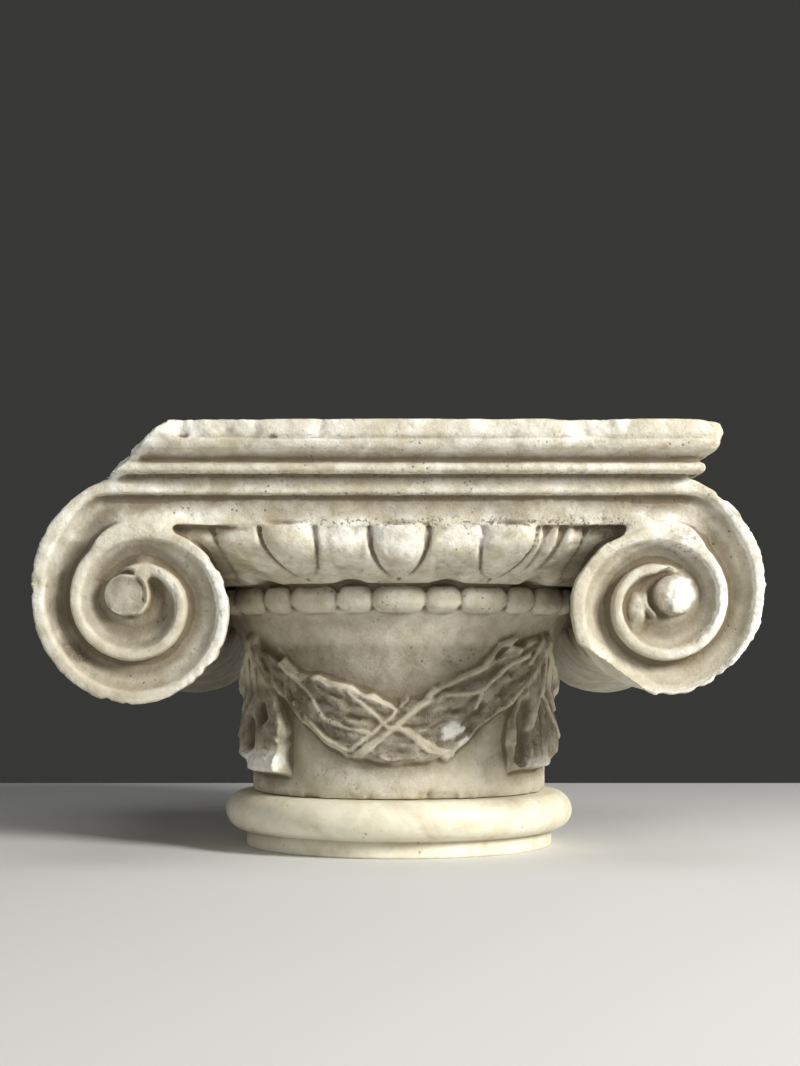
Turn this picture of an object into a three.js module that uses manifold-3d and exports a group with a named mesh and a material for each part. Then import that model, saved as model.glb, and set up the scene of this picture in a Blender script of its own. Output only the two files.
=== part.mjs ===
// A small carved marble Ionic capital on its turned collar, in millimetres.
// +Z is up, the front looks along -Y, and the origin is the centre of the collar's underside.
import * as THREE from "three";
import { mergeVertices } from "three/addons/utils/BufferGeometryUtils.js";
import Module from "manifold-3d";

const wasm = await Module();
wasm.setup();

// Driving sizes of the round part, from the bottom up: heights of its members and their steps outwards.
const NECK_RADIUS = 76;
const NECK_HEIGHT = 76.1;
const NECK_FLARE = 4.5;
const BAND_HEIGHT = 13.5;
const BAND_STEP = 3.5;
const BAND_FLARE = 5.5;
const BEAD_HEIGHT = 13.4;
const BEAD_RELIEF = 6.5;
const SHORT_BEAD_HALF_WIDTH = 0.16;
const EGG_HEIGHT = 25.6;
const EGG_STEP = 12;
const EGG_SWELL = 25;
const EGG_RELIEF = 9;
const EGG_COUNT = 14;
const EGG_HALF_WIDTH = 0.27;

// Driving sizes of the collar, a disc with a torus on it.
const DISC_RADIUS = 79.5;
const DISC_HEIGHT = 8.4;
const TORUS_HEIGHT = 19.6;
const TORUS_SWELL = 10.5;
const BED_MARGIN = 4;
const BED_JOINT = 0.4;

// Driving sizes of the channel band, the volutes and the bolsters between them.
const FACE_MARGIN = 3;
const CHANNEL_HEIGHT = 14.2;
const CHANNEL_DEPTH = 6;
const CHANNEL_LIP = 0.9;
const BAND_SETBACK = 0.4;
const FILLET_HEIGHT = 5.8;
const RIM_WIDTH = 7.2;
const INNER_RIM_WIDTH = 4.2;
const VOLUTE_SPREAD = 118.3;
const VOLUTE_DROP = 35;
const VOLUTE_RADIUS = 48.5;
const EYE_SHARE = 0.196;
const EYE_SHIFT = { out: 0.122, up: 0.068 };
const BOLSTER_WAIST = 0.72;
const BOLSTER_RIM = 7;
const BELT_HALF_WIDTH = 13;
const BELT_SWELL = 1.06;
const HAUNCH_FOOT = 0.4;
const HAUNCH_WIDTH = 0.64;
const SEAT_WIDTH = 0.831;
const SEAT_HALF_LENGTH = 48;

// Driving sizes of the abacus: its height is that of the hollow and roll, the ovolo and the fascia.
const FOOT_HEIGHT = 11;
const ROLL_BASE = 2;
const ROLL_HEIGHT = 5.6;
const ROLL_STEP = 7;
const OVOLO_HEIGHT = 7;
const FASCIA_HEIGHT = 8;
const FASCIA_STEP = 8;

// Driving sizes of the garlands that hang on the neck between four knots.
const KNOT_ANGLE = 61;
const KNOT_MARGIN = 2.5;
const SWAG_SAG = 42;
const SWAG_CURVE = 1.7;
const SIDE_SWAG_SAG = 22;
const SWAG_HALF_WIDTH = 13.5;
const SIDE_SWAG_HALF_WIDTH = 8;
const SWAG_END_HALF_WIDTH = 5;
const SWAG_RELIEF = 7.5;
const LEAF_LENGTH = 14;
const LEAF_SWELL = 0.14;
const DROP_LENGTH = 61;
const DROP_HALF_WIDTH = 20;
const DROP_RELIEF = 9;

// Driving sizes of the breaks: each place is where the lost piece began.
const CORNER_LOSS = { top: 44.3, foot: 17, back: 58 };
const FASCIA_LOSSES = [
  { from: -104, to: -67, depth: 4 },
  { from: -37, to: -26, depth: 2.5 },
  { from: 70, to: 98, depth: 3 },
];
const RIM_LOSS = { share: 0.771, angle: 54.8 };
const CORNER_MARGIN = 0.2;

// Heights and reaches that follow from the driving sizes.
const COLLAR_HEIGHT = DISC_HEIGHT + TORUS_HEIGHT;
const COLLAR_TOP_RADIUS = NECK_RADIUS + BED_MARGIN;
const NECK_BOTTOM = COLLAR_HEIGHT + BED_JOINT;
const NECK_TOP = NECK_BOTTOM + NECK_HEIGHT;
const BAND_RADIUS = NECK_RADIUS + NECK_FLARE + BAND_STEP;
const BAND_TOP = NECK_TOP + BAND_HEIGHT;
const BEAD_BED_RADIUS = BAND_RADIUS + BAND_FLARE + 1.5;
const BEAD_ROW_TOP = BAND_TOP + BEAD_HEIGHT;
const EGG_BOTTOM_RADIUS = BEAD_BED_RADIUS + EGG_STEP;
const EGG_TOP_RADIUS = EGG_BOTTOM_RADIUS + EGG_SWELL;
const CHANNEL_BOTTOM = BEAD_ROW_TOP + EGG_HEIGHT;
const CHANNEL_TOP = CHANNEL_BOTTOM + CHANNEL_HEIGHT;
const FACE_REACH = EGG_TOP_RADIUS + FACE_MARGIN;
const VOLUTE_HEIGHT = CHANNEL_BOTTOM - VOLUTE_DROP;
const ABACUS_BOTTOM = CHANNEL_TOP + FILLET_HEIGHT;
const ROLL_REACH = FACE_REACH + ROLL_STEP;
const ABACUS_REACH = ROLL_REACH + FASCIA_STEP;
const OVOLO_BOTTOM = ABACUS_BOTTOM + FOOT_HEIGHT;
const FASCIA_BOTTOM = OVOLO_BOTTOM + OVOLO_HEIGHT;
const ABACUS_TOP = FASCIA_BOTTOM + FASCIA_HEIGHT;
const KNOT_HEIGHT = NECK_TOP - KNOT_MARGIN;

// The spiral's radius at every quarter turn, from the top of the volute outwards and inwards again.
// It starts inside the abacus and the rest are shares of the volute's own radius.
const SPIRAL_SHARES = [1, 0.96, 0.852, 0.685, 0.627, 0.536, 0.445, 0.348, 0.318, 0.212];
const SPIRAL_START = ABACUS_BOTTOM + 3.5 - VOLUTE_HEIGHT;
const SPIRAL_RADII = [SPIRAL_START, ...SPIRAL_SHARES.map((share) => share * VOLUTE_RADIUS)];

const TURN = Math.PI * 2;
const DEGREE = Math.PI / 180;
const EGG_PITCH = TURN / EGG_COUNT;

const mix = (a, b, t) => a + (b - a) * t;
const clamp = (t, low = 0, high = 1) => Math.min(high, Math.max(low, t));
const smooth = (t) => clamp(t) ** 2 * (3 - 2 * clamp(t));
const dome = (t) => Math.sqrt(Math.max(0, 1 - t * t));
const wrap = (t) => t - Math.round(t);

// A closed three.js geometry as a solid that can be joined and cut, turned to face outwards if it doesn't.
function solid(geometry) {
  const bare = geometry.index ? geometry.toNonIndexed() : geometry.clone();
  bare.deleteAttribute("normal");
  bare.deleteAttribute("uv");
  const merged = mergeVertices(bare, 1e-3);
  const index = merged.index.array;
  const triangles = [];
  for (let i = 0; i < index.length; i += 3) {
    const [a, b, c] = index.slice(i, i + 3);
    if (a !== b && b !== c && a !== c) triangles.push(a, b, c);
  }
  const build = (order) => {
    const vertProperties = merged.attributes.position.array;
    return new wasm.Manifold(new wasm.Mesh({ numProp: 3, vertProperties, triVerts: new Uint32Array(order) }));
  };
  const body = build(triangles);
  return body.volume() > 0 ? body : build(triangles.reverse());
}

// Takes the needles and slivers out of a closed skin, pass by pass. An edge under the shortest length
// shrinks to one corner. A corner that lies on the long edge opposite it splits the triangle beyond.
function tidied(points, skin, shortest = 0.05, thinnest = 0.03) {
  let triangles = skin;
  const width = (corners) => {
    const [a, b, c] = corners.map((v) => points[v]);
    const longest = Math.max(a.distanceTo(b), b.distanceTo(c), c.distanceTo(a));
    return b.clone().sub(a).cross(c.clone().sub(a)).length() / longest;
  };
  for (let pass = 0; pass < 12; pass++) {
    const around = points.map(() => []);
    triangles.forEach((corners, t) => corners.forEach((c) => around[c].push(t)));
    const ring = (c) => new Set(around[c].flatMap((t) => triangles[t]));
    const busy = new Set();
    const gone = new Set();
    const claim = (ids) => {
      const corners = ids.flatMap((t) => triangles[t]);
      if (corners.some((c) => busy.has(c))) return false;
      corners.forEach((c) => busy.add(c));
      return true;
    };
    triangles.forEach((corners, t) => {
      if (corners.some((v) => busy.has(v))) return;
      const lengths = corners.map((c, i) => points[c].distanceTo(points[corners[(i + 1) % 3]]));
      const short = lengths.indexOf(Math.min(...lengths));
      const long = lengths.indexOf(Math.max(...lengths));
      const [a, b, c] = [0, 1, 2].map((i) => corners[(long + i) % 3]);
      const shrink = () => {
        const [keep, drop] = [corners[short], corners[(short + 1) % 3]];
        const shared = [...ring(keep)].filter((v) => v !== keep && v !== drop && ring(drop).has(v));
        if (shared.length !== 2 || !claim([...around[keep], ...around[drop]])) return;
        for (const other of around[drop]) {
          if (triangles[other].includes(keep)) gone.add(other);
          else triangles[other] = triangles[other].map((v) => (v === drop ? keep : v));
        }
      };
      const flip = () => {
        const mate = around[a].find((other) => other !== t && triangles[other].includes(b));
        const far = triangles[mate].find((v) => v !== a && v !== b);
        const halves = [[c, a, far], [far, b, c]];
        const before = Math.min(width(corners), width(triangles[mate]));
        if (ring(c).has(far) || Math.min(...halves.map(width)) < before) return false;
        if (claim([t, mate])) [triangles[t], triangles[mate]] = halves;
        return true;
      };
      if (lengths[short] < shortest) shrink();
      else if (width(corners) < thinnest && !flip() && width(corners) < shortest / 50) shrink();
    });
    triangles = triangles.filter((_, t) => !gone.has(t));
    if (!busy.size) break;
  }
  return triangles;
}

// The solid's skin as a three.js geometry again.
function geometryOf(body) {
  const mesh = body.getMesh();
  const position = new THREE.BufferAttribute(new Float32Array(mesh.vertProperties), 3);
  const points = Array.from({ length: position.count }, (_, i) => new THREE.Vector3().fromBufferAttribute(position, i));
  const corners = Array.from(mesh.triVerts);
  const skin = Array.from({ length: corners.length / 3 }, (_, i) => corners.slice(3 * i, 3 * i + 3));
  const bare = new THREE.BufferGeometry();
  bare.setAttribute("position", position);
  bare.setIndex(tidied(points, skin).flat());
  const geometry = mergeVertices(bare, 1e-4);
  geometry.computeVertexNormals();
  return geometry;
}

// A profile of [radius, height] points turned about +Z. Angle 0 is the front and a quarter turn is +X.
function turned(profile, segments) {
  const points = profile.map(([radius, height]) => new THREE.Vector2(radius, height));
  return new THREE.LatheGeometry(points, segments).rotateX(Math.PI / 2);
}

// Rings of equal length joined one after another into a closed skin, each end a fan about its middle.
function loft(rings) {
  const count = rings[0].length;
  const vertices = rings.flat();
  const triangles = [];
  for (let ring = 0; ring < rings.length - 1; ring++) {
    for (let i = 0; i < count; i++) {
      const a = ring * count + i;
      const b = ring * count + ((i + 1) % count);
      triangles.push(a, b, a + count, b, b + count, a + count);
    }
  }
  for (const end of [0, rings.length - 1]) {
    const middle = rings[end].reduce((sum, point) => sum.clone().add(point)).divideScalar(count);
    const hub = vertices.push(middle) - 1;
    for (let i = 0; i < count; i++) {
      const rim = [end * count + i, end * count + ((i + 1) % count)];
      triangles.push(hub, ...(end ? rim : rim.reverse()));
    }
  }
  const geometry = new THREE.BufferGeometry().setFromPoints(vertices);
  geometry.setIndex(triangles);
  return geometry;
}

// How far the eggs and the broad tongues between them stand back from the egg row's outer curve.
function eggRelief(angle, share) {
  const across = Math.abs(wrap(angle / EGG_PITCH));
  const widest = 0.7;
  const reach = share < widest ? (widest - share) / widest : (share - widest) / 0.9;
  const halfWidth = EGG_HALF_WIDTH * dome(Math.min(reach, 0.98));
  const egg = across < halfWidth ? dome(across / halfWidth) * 0.7 + 0.3 : 0;
  const tongue = across > EGG_HALF_WIDTH + 0.06 ? 0.72 : 0;
  return EGG_RELIEF * (Math.max(egg, tongue) - 1);
}

// Long beads under the eggs, with a short bead between each two.
function beadRelief(angle, share) {
  const along = Math.abs(wrap(angle / EGG_PITCH));
  const long = dome(Math.min(1, along / (0.48 - SHORT_BEAD_HALF_WIDTH)) ** 2);
  const short = dome(Math.min(1, (0.5 - along) / SHORT_BEAD_HALF_WIDTH) ** 2);
  return BEAD_RELIEF * Math.max(long, short) * dome(2 * share - 1);
}

// Rings about +Z, one for each [radius, height] row, pushed out by the relief. Angle 0 is the front.
function carved(rows, angles, relief) {
  const rings = rows.map(([radius, height, share]) =>
    angles.map((angle) => {
      const reach = radius + (share === undefined ? 0 : relief(angle, share));
      return new THREE.Vector3(reach * Math.sin(angle), -reach * Math.cos(angle), height);
    }),
  );
  return solid(loft(rings));
}

// Angles once round, the same places in every pitch of the egg row.
function pitchAngles(places) {
  const halves = [...places, ...places.slice(1, -1).reverse().map((place) => 1 - place)];
  const pitches = Array.from({ length: EGG_COUNT }, (_, i) => i);
  return pitches.flatMap((i) => halves.map((place) => (i + place) * EGG_PITCH));
}

// The neck's radius at a height: plain below, flaring a little towards the band.
function neckRadius(height) {
  const share = (height - NECK_BOTTOM) / NECK_HEIGHT;
  return NECK_RADIUS + NECK_FLARE * smooth(2 * share - 1);
}

// The plain neck, from the bed joint up into the band.
function neck() {
  const profile = [[0, NECK_BOTTOM], [NECK_RADIUS, NECK_BOTTOM]];
  for (const share of [0.5, 0.65, 0.8, 1]) {
    const height = mix(NECK_BOTTOM, NECK_TOP + 1, share);
    profile.push([neckRadius(height), height]);
  }
  profile.push([0, NECK_TOP + 1]);
  return solid(turned(profile, 40));
}

// A roll laid on the neck: a ring of points across its path at every station, half sunk in the stone.
function roll(stations) {
  const around = 8;
  const rings = stations.map(({ angle, height, slope, halfWidth, lift }) => {
    const ring = [];
    for (let i = 0; i < around; i++) {
      const turn = ((i + 0.5) * TURN) / around;
      const across = halfWidth * Math.cos(turn);
      const z = height + across * Math.cos(slope);
      const out = Math.sin(turn) * (Math.sin(turn) > 0 ? lift : 4);
      const reach = neckRadius(z) + out;
      const place = angle - (across * Math.sin(slope)) / NECK_RADIUS;
      ring.push(new THREE.Vector3(reach * Math.sin(place), -reach * Math.cos(place), z));
    }
    return ring;
  });
  return solid(loft(rings));
}

// A garland between two knots: a sagging roll, fullest at the middle, that swells at every leaf.
function swag(centre, halfSpan, sag, fullWidth) {
  const length = 2 * halfSpan * NECK_RADIUS;
  const leaves = Math.round(length / LEAF_LENGTH);
  const stations = [];
  for (let i = 0; i <= 2 * leaves; i++) {
    const along = Math.abs(i / leaves - 1);
    const side = Math.sign(i - leaves);
    const rise = (SWAG_CURVE * sag * along ** (SWAG_CURVE - 1)) / (halfSpan * NECK_RADIUS);
    const swell = 1 + LEAF_SWELL * (i % 2 ? 1 : -1);
    stations.push({
      angle: centre + side * along * halfSpan,
      height: KNOT_HEIGHT - sag * (1 - along ** SWAG_CURVE),
      slope: Math.atan(side * rise),
      halfWidth: mix(fullWidth, SWAG_END_HALF_WIDTH, along ** 1.6) * swell,
      lift: mix(SWAG_RELIEF, SWAG_RELIEF * 0.6, along) * swell,
    });
  }
  return roll(stations);
}

// A hanging end of garland and ribbon that widens downwards from its knot and is cut off flat.
function drop(centre) {
  const stations = [];
  const steps = 6;
  for (let i = 0; i <= steps; i++) {
    const down = i / steps;
    stations.push({
      angle: centre,
      height: KNOT_HEIGHT - DROP_LENGTH * down,
      slope: Math.PI / 2,
      halfWidth: mix(SWAG_END_HALF_WIDTH, DROP_HALF_WIDTH, smooth(down * 1.3)) * (i % 2 ? 1.06 : 0.94),
      lift: DROP_RELIEF * mix(0.5, 1, smooth(down * 2)),
    });
  }
  return roll(stations);
}

// A wide swag front and back, a short one at each side, and a drop under every knot.
function garlands() {
  const knot = KNOT_ANGLE * DEGREE;
  const overlap = 2.3 * DEGREE;
  const pieces = [];
  for (const centre of [0, TURN / 2]) {
    pieces.push(swag(centre, knot, SWAG_SAG, SWAG_HALF_WIDTH));
    pieces.push(swag(centre + TURN / 4, TURN / 4 - knot + overlap, SIDE_SWAG_SAG, SIDE_SWAG_HALF_WIDTH));
    pieces.push(drop(centre - knot), drop(centre + knot));
  }
  return pieces;
}

// The plain flaring band that carries the beads.
function band() {
  const foot = BAND_HEIGHT * 0.22;
  const profile = [[0, NECK_TOP], [BAND_RADIUS, NECK_TOP], [BAND_RADIUS, NECK_TOP + foot]];
  profile.push([BAND_RADIUS + BAND_FLARE, BAND_TOP], [0, BAND_TOP]);
  return solid(turned(profile, 48));
}

// The row of beads.
function beadRow() {
  const rows = [[BEAD_BED_RADIUS - 4, BAND_TOP - 1.5]];
  for (const share of [0.06, 0.3, 0.7, 0.9]) {
    rows.push([BEAD_BED_RADIUS, mix(BAND_TOP, BEAD_ROW_TOP, share), share]);
  }
  rows.push([BEAD_BED_RADIUS - 4, BEAD_ROW_TOP + 0.8]);
  const gap = 0.5 - SHORT_BEAD_HALF_WIDTH - 0.01;
  return carved(rows, pitchAngles([0, 0.2, gap, gap + 0.07, 0.5]), beadRelief);
}

// The row of eggs, whose outer curve swells from the beads up to the channel.
function eggRow() {
  const rows = [[BEAD_BED_RADIUS - 6, BEAD_ROW_TOP - 1]];
  for (const share of [0.05, 0.18, 0.5, 1]) {
    const swell = Math.sin((share * Math.PI) / 2) ** 0.9;
    const radius = mix(EGG_BOTTOM_RADIUS, EGG_TOP_RADIUS, swell);
    rows.push([radius, mix(BEAD_ROW_TOP, CHANNEL_BOTTOM, share), share]);
  }
  rows.push([EGG_TOP_RADIUS - EGG_RELIEF - 2, CHANNEL_BOTTOM + 2]);
  const groove = EGG_HALF_WIDTH + 0.03;
  return carved(rows, pitchAngles([0, 0.14, groove - 0.06, groove, groove + 0.06, 0.5]), eggRelief);
}

// The spiral's outer radius after a number of quarter turns from the top, smooth through each listed radius.
function spiralRadius(quarters) {
  const last = SPIRAL_RADII.length - 1;
  const at = (i) => SPIRAL_RADII[clamp(i, 0, last)];
  const i = Math.min(Math.floor(quarters), last - 1);
  const t = quarters - i;
  const [a, b, c, d] = [at(i - 1), at(i), at(i + 1), at(i + 2)];
  return b + (t * (c - a + t * (2 * a - 5 * b + 4 * c - d + t * (3 * (b - c) + d - a)))) / 2;
}

// A volute's outline: one turn of the spiral, closed inside the channel band at the top.
function outlineRadius(quarters) {
  return mix(spiralRadius(quarters), SPIRAL_RADII[0], smooth((quarters - 3.65) / 0.35));
}

// A point in a volute's own plane: a radius at a number of quarter turns, leaning outwards from the top.
function volutePoint(side, quarters, radius, y) {
  const turn = (quarters * Math.PI) / 2;
  return new THREE.Vector3(
    side * (VOLUTE_SPREAD + radius * Math.sin(turn)),
    y,
    VOLUTE_HEIGHT + radius * Math.cos(turn),
  );
}

// The bolster that joins a front volute to the back one: its outline shrinks to a belted waist.
function bolster(side) {
  const reach = FACE_REACH;
  const stations = [reach, reach - BOLSTER_RIM, 100, 64, BELT_HALF_WIDTH + 1, BELT_HALF_WIDTH];
  const rings = [];
  const scaleAt = (y) => {
    const flare = Math.min(1, Math.abs(y) / (reach - BOLSTER_RIM)) ** 2.4;
    return mix(BOLSTER_WAIST, 1, flare) * (Math.abs(y) <= BELT_HALF_WIDTH ? BELT_SWELL : 1);
  };
  const all = [...stations.map((y) => -y), ...[...stations].reverse()];
  for (const y of all) {
    const ring = [];
    const steps = 28;
    for (let i = 0; i < steps; i++) {
      const quarters = (4 * i) / steps;
      ring.push(volutePoint(side, quarters, outlineRadius(quarters) * scaleAt(y), y));
    }
    rings.push(ring);
  }
  return solid(loft(rings));
}

// The hollow between two turns of the spiral, as a cutter that runs in from the middle of the band.
function spiralCutter(side, face) {
  const clear = 2;
  const ring = (place, inner, outer, depth) => [
    place(inner - 0.4, -clear),
    place(mix(inner, outer, 0.2), depth * 0.9),
    place(mix(inner, outer, 0.72), depth * 0.9),
    place(outer + 0.4, -clear),
  ];
  const rings = [];
  const straight = (x) => (radius, deep) =>
    new THREE.Vector3(side * x, face * (FACE_REACH - deep), VOLUTE_HEIGHT + radius);
  const bandInner = CHANNEL_BOTTOM + CHANNEL_LIP - VOLUTE_HEIGHT;
  const bandOuter = CHANNEL_TOP - VOLUTE_HEIGHT;
  rings.push(ring(straight(-2), bandInner + 0.6, bandOuter - 0.6, CHANNEL_DEPTH - 0.4));
  rings.push(ring(straight(VOLUTE_SPREAD * 0.8), bandInner, bandOuter, CHANNEL_DEPTH));
  const lastQuarter = 9.4;
  const steps = 28;
  for (let i = 0; i <= steps; i++) {
    const quarters = (lastQuarter * i) / steps;
    const wound = quarters / lastQuarter;
    const rim = mix(RIM_WIDTH, INNER_RIM_WIDTH, clamp(wound * 1.6));
    const start = 1 - smooth(quarters * 2);
    const outer = mix(spiralRadius(quarters) - rim, bandOuter, start);
    const next = quarters + 4 < SPIRAL_RADII.length - 1 ? spiralRadius(quarters + 4) : 0;
    const inner = Math.max(mix(next, bandInner, start), 0.4);
    const depth = CHANNEL_DEPTH * mix(1, 0.7, wound);
    const place = (radius, deep) => volutePoint(side, quarters, radius, face * (FACE_REACH - deep));
    rings.push(ring(place, Math.min(inner, outer - 1), outer, depth));
  }
  return solid(loft(rings));
}

// The round button at the middle of a volute.
function eye(side, face) {
  const length = CHANNEL_DEPTH + 4;
  const radius = EYE_SHARE * VOLUTE_RADIUS;
  const geometry = new THREE.CylinderGeometry(radius - 0.6, radius, length, 18);
  geometry.rotateX(face > 0 ? 0 : Math.PI);
  const x = side * (VOLUTE_SPREAD + EYE_SHIFT.out * VOLUTE_RADIUS);
  const z = VOLUTE_HEIGHT + EYE_SHIFT.up * VOLUTE_RADIUS;
  geometry.translate(x, face * (FACE_REACH - 0.5 - length / 2), z);
  return solid(geometry);
}

// The flat block behind the channel, from the eggs up to the abacus, with a haunch over each bolster
// and a narrower seat where the bolster meets the beads.
function channelBand() {
  const height = ABACUS_BOTTOM + 1 - CHANNEL_BOTTOM;
  const middle = CHANNEL_BOTTOM + height / 2;
  const width = 2 * VOLUTE_SPREAD;
  const front = new THREE.BoxGeometry(width, 2 * (FACE_REACH - BAND_SETBACK), height).translate(0, 0, middle);
  const sides = new THREE.BoxGeometry(2 * EGG_TOP_RADIUS, 2 * (FACE_REACH - BOLSTER_RIM), height);
  let block = solid(front).add(solid(sides.translate(0, 0, middle)));
  const foot = VOLUTE_HEIGHT + HAUNCH_FOOT * VOLUTE_RADIUS;
  const haunchWidth = HAUNCH_WIDTH * VOLUTE_RADIUS;
  for (const side of [-1, 1]) {
    const haunch = new THREE.BoxGeometry(haunchWidth, 2 * (FACE_REACH - BOLSTER_RIM) - 1, ABACUS_BOTTOM - foot);
    haunch.translate(side * (VOLUTE_SPREAD - haunchWidth / 2), 0, (foot + ABACUS_BOTTOM) / 2);
    const seatWidth = SEAT_WIDTH * VOLUTE_RADIUS;
    const seatFoot = BAND_TOP - 1.5;
    const seat = new THREE.BoxGeometry(seatWidth, 2 * SEAT_HALF_LENGTH, ABACUS_BOTTOM - 1 - seatFoot);
    seat.translate(side * (VOLUTE_SPREAD - seatWidth / 2), 0, (seatFoot + ABACUS_BOTTOM - 1) / 2);
    block = block.add(solid(haunch)).add(solid(seat));
  }
  return block;
}

// The abacus: one moulding profile mitred round a square, which is a lathe of four sides.
function abacus() {
  const rollBottom = ABACUS_BOTTOM + ROLL_BASE;
  const rollTop = rollBottom + ROLL_HEIGHT;
  const profile = [[0, ABACUS_BOTTOM], [ROLL_REACH - 4, ABACUS_BOTTOM]];
  for (const t of [0, 0.25, 0.5, 0.75, 1]) {
    profile.push([ROLL_REACH - 1.6 * (1 - dome(2 * t - 1)), mix(rollBottom, rollTop, t)]);
  }
  const hollowReach = ROLL_REACH + FASCIA_STEP * 0.6;
  for (const t of [0.35, 0.7, 1]) {
    profile.push([mix(ROLL_REACH - 0.5, hollowReach, t ** 1.6), mix(rollTop, OVOLO_BOTTOM, t)]);
  }
  for (const t of [0.15, 0.4, 0.7, 0.92]) {
    const reach = mix(hollowReach, ABACUS_REACH - 1.2, dome(1 - t));
    profile.push([reach, mix(OVOLO_BOTTOM, FASCIA_BOTTOM, t)]);
  }
  profile.push([ABACUS_REACH - 2, FASCIA_BOTTOM - 0.3], [ABACUS_REACH, FASCIA_BOTTOM + 0.2]);
  profile.push([ABACUS_REACH, ABACUS_TOP], [0, ABACUS_TOP]);
  const square = profile.map(([reach, height]) => [reach * Math.SQRT2, height]);
  return solid(turned(square, 4).rotateZ(Math.PI / 4));
}

// A large block with one face on a plane, for breaking off what lies beyond it.
function breaker(origin, normal) {
  const size = 3 * ABACUS_REACH;
  const geometry = new THREE.BoxGeometry(size, size, size).translate(0, 0, size / 2);
  const turn = new THREE.Quaternion().setFromUnitVectors(new THREE.Vector3(0, 0, 1), normal);
  geometry.applyQuaternion(turn).translate(origin.x, origin.y, origin.z);
  return solid(geometry);
}

// The lost front left corner of the abacus, along one sloping break.
function cornerLoss() {
  const { foot, back } = CORNER_LOSS;
  const top = new THREE.Vector3(CORNER_LOSS.top - ABACUS_REACH, -ABACUS_REACH, ABACUS_TOP);
  const low = new THREE.Vector3(foot - ABACUS_REACH, -ABACUS_REACH, ABACUS_BOTTOM);
  const rear = new THREE.Vector3(-ROLL_REACH, back - ABACUS_REACH, ABACUS_BOTTOM + 4);
  const normal = low.sub(top).cross(rear.sub(top)).normalize().negate();
  const height = 2 * (ABACUS_TOP - ABACUS_BOTTOM);
  const above = new THREE.BoxGeometry(4 * ABACUS_REACH, 4 * ABACUS_REACH, height);
  above.translate(0, 0, ABACUS_BOTTOM + CORNER_MARGIN + height / 2);
  return breaker(top, normal).intersect(solid(above));
}

// The bruised stretches of the abacus's front fascia.
function fasciaLosses() {
  return FASCIA_LOSSES.map(({ from, to, depth }) => {
    const height = FASCIA_HEIGHT * 0.9;
    const geometry = new THREE.CylinderGeometry(1, 1, height + 2, 8).rotateX(Math.PI / 2);
    geometry.scale((to - from) / 2, depth, 1);
    geometry.translate((from + to) / 2, -ABACUS_REACH, ABACUS_TOP - height / 2 + 1);
    return solid(geometry);
  });
}

// The flat break across the right front volute's lower inner rim.
function rimLoss() {
  const turn = RIM_LOSS.angle * DEGREE;
  const normal = new THREE.Vector3(-Math.cos(turn), 0, -Math.sin(turn));
  const origin = new THREE.Vector3(VOLUTE_SPREAD, -FACE_REACH, VOLUTE_HEIGHT);
  origin.addScaledVector(normal, RIM_LOSS.share * VOLUTE_RADIUS);
  const size = 1.64 * VOLUTE_RADIUS;
  const deep = new THREE.BoxGeometry(size, 2 * BOLSTER_RIM, size);
  deep.translate(VOLUTE_SPREAD - size / 4, -FACE_REACH, VOLUTE_HEIGHT - size / 2);
  return breaker(origin, normal).intersect(solid(deep));
}

// The whole carved stone, joined and then broken where the real one is. Its outer shell alone is kept,
// which fills the specks of air that two curved forms can shut in where they meet.
function capital() {
  let body = channelBand();
  for (const side of [-1, 1]) body = body.add(bolster(side));
  for (const side of [-1, 1]) {
    for (const face of [-1, 1]) body = body.subtract(spiralCutter(side, face)).add(eye(side, face));
  }
  for (const piece of [neck(), ...garlands(), band(), beadRow(), eggRow(), abacus()]) body = body.add(piece);
  for (const loss of [cornerLoss(), rimLoss(), ...fasciaLosses()]) body = body.subtract(loss);
  const shells = body.decompose();
  return shells.reduce((a, b) => (a.volume() > b.volume() ? a : b));
}

// The turned collar: a plain disc below and a half-round moulding above, with a flat bed on top.
function collar() {
  const middle = (DISC_HEIGHT + COLLAR_HEIGHT) / 2;
  const halfHeight = (COLLAR_HEIGHT - DISC_HEIGHT) / 2;
  const profile = [[0, 0], [DISC_RADIUS - 1, 0], [DISC_RADIUS, 1], [DISC_RADIUS, DISC_HEIGHT]];
  const steps = 8;
  for (let i = 0; i <= steps; i++) {
    const turn = mix(-1, 1, i / steps) * (Math.PI / 2);
    profile.push([COLLAR_TOP_RADIUS + TORUS_SWELL * Math.cos(turn), middle + halfHeight * Math.sin(turn)]);
  }
  profile.push([0, COLLAR_HEIGHT]);
  return solid(turned(profile, 48));
}

const stone = new THREE.MeshStandardMaterial({ color: 0xcfc7b0, roughness: 0.75, metalness: 0 });
const collarStone = new THREE.MeshStandardMaterial({ color: 0xe0d9bd, roughness: 0.55, metalness: 0 });

const part = new THREE.Group();
for (const [name, body, material] of [
  ["capital", capital(), stone],
  ["collar", collar(), collarStone],
]) {
  const mesh = new THREE.Mesh(geometryOf(body), material);
  mesh.name = name;
  part.add(mesh);
}

export default part;
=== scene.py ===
"""A weathered marble Ionic capital with garlands on its neck, standing on a turned collar."""
import math

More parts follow.
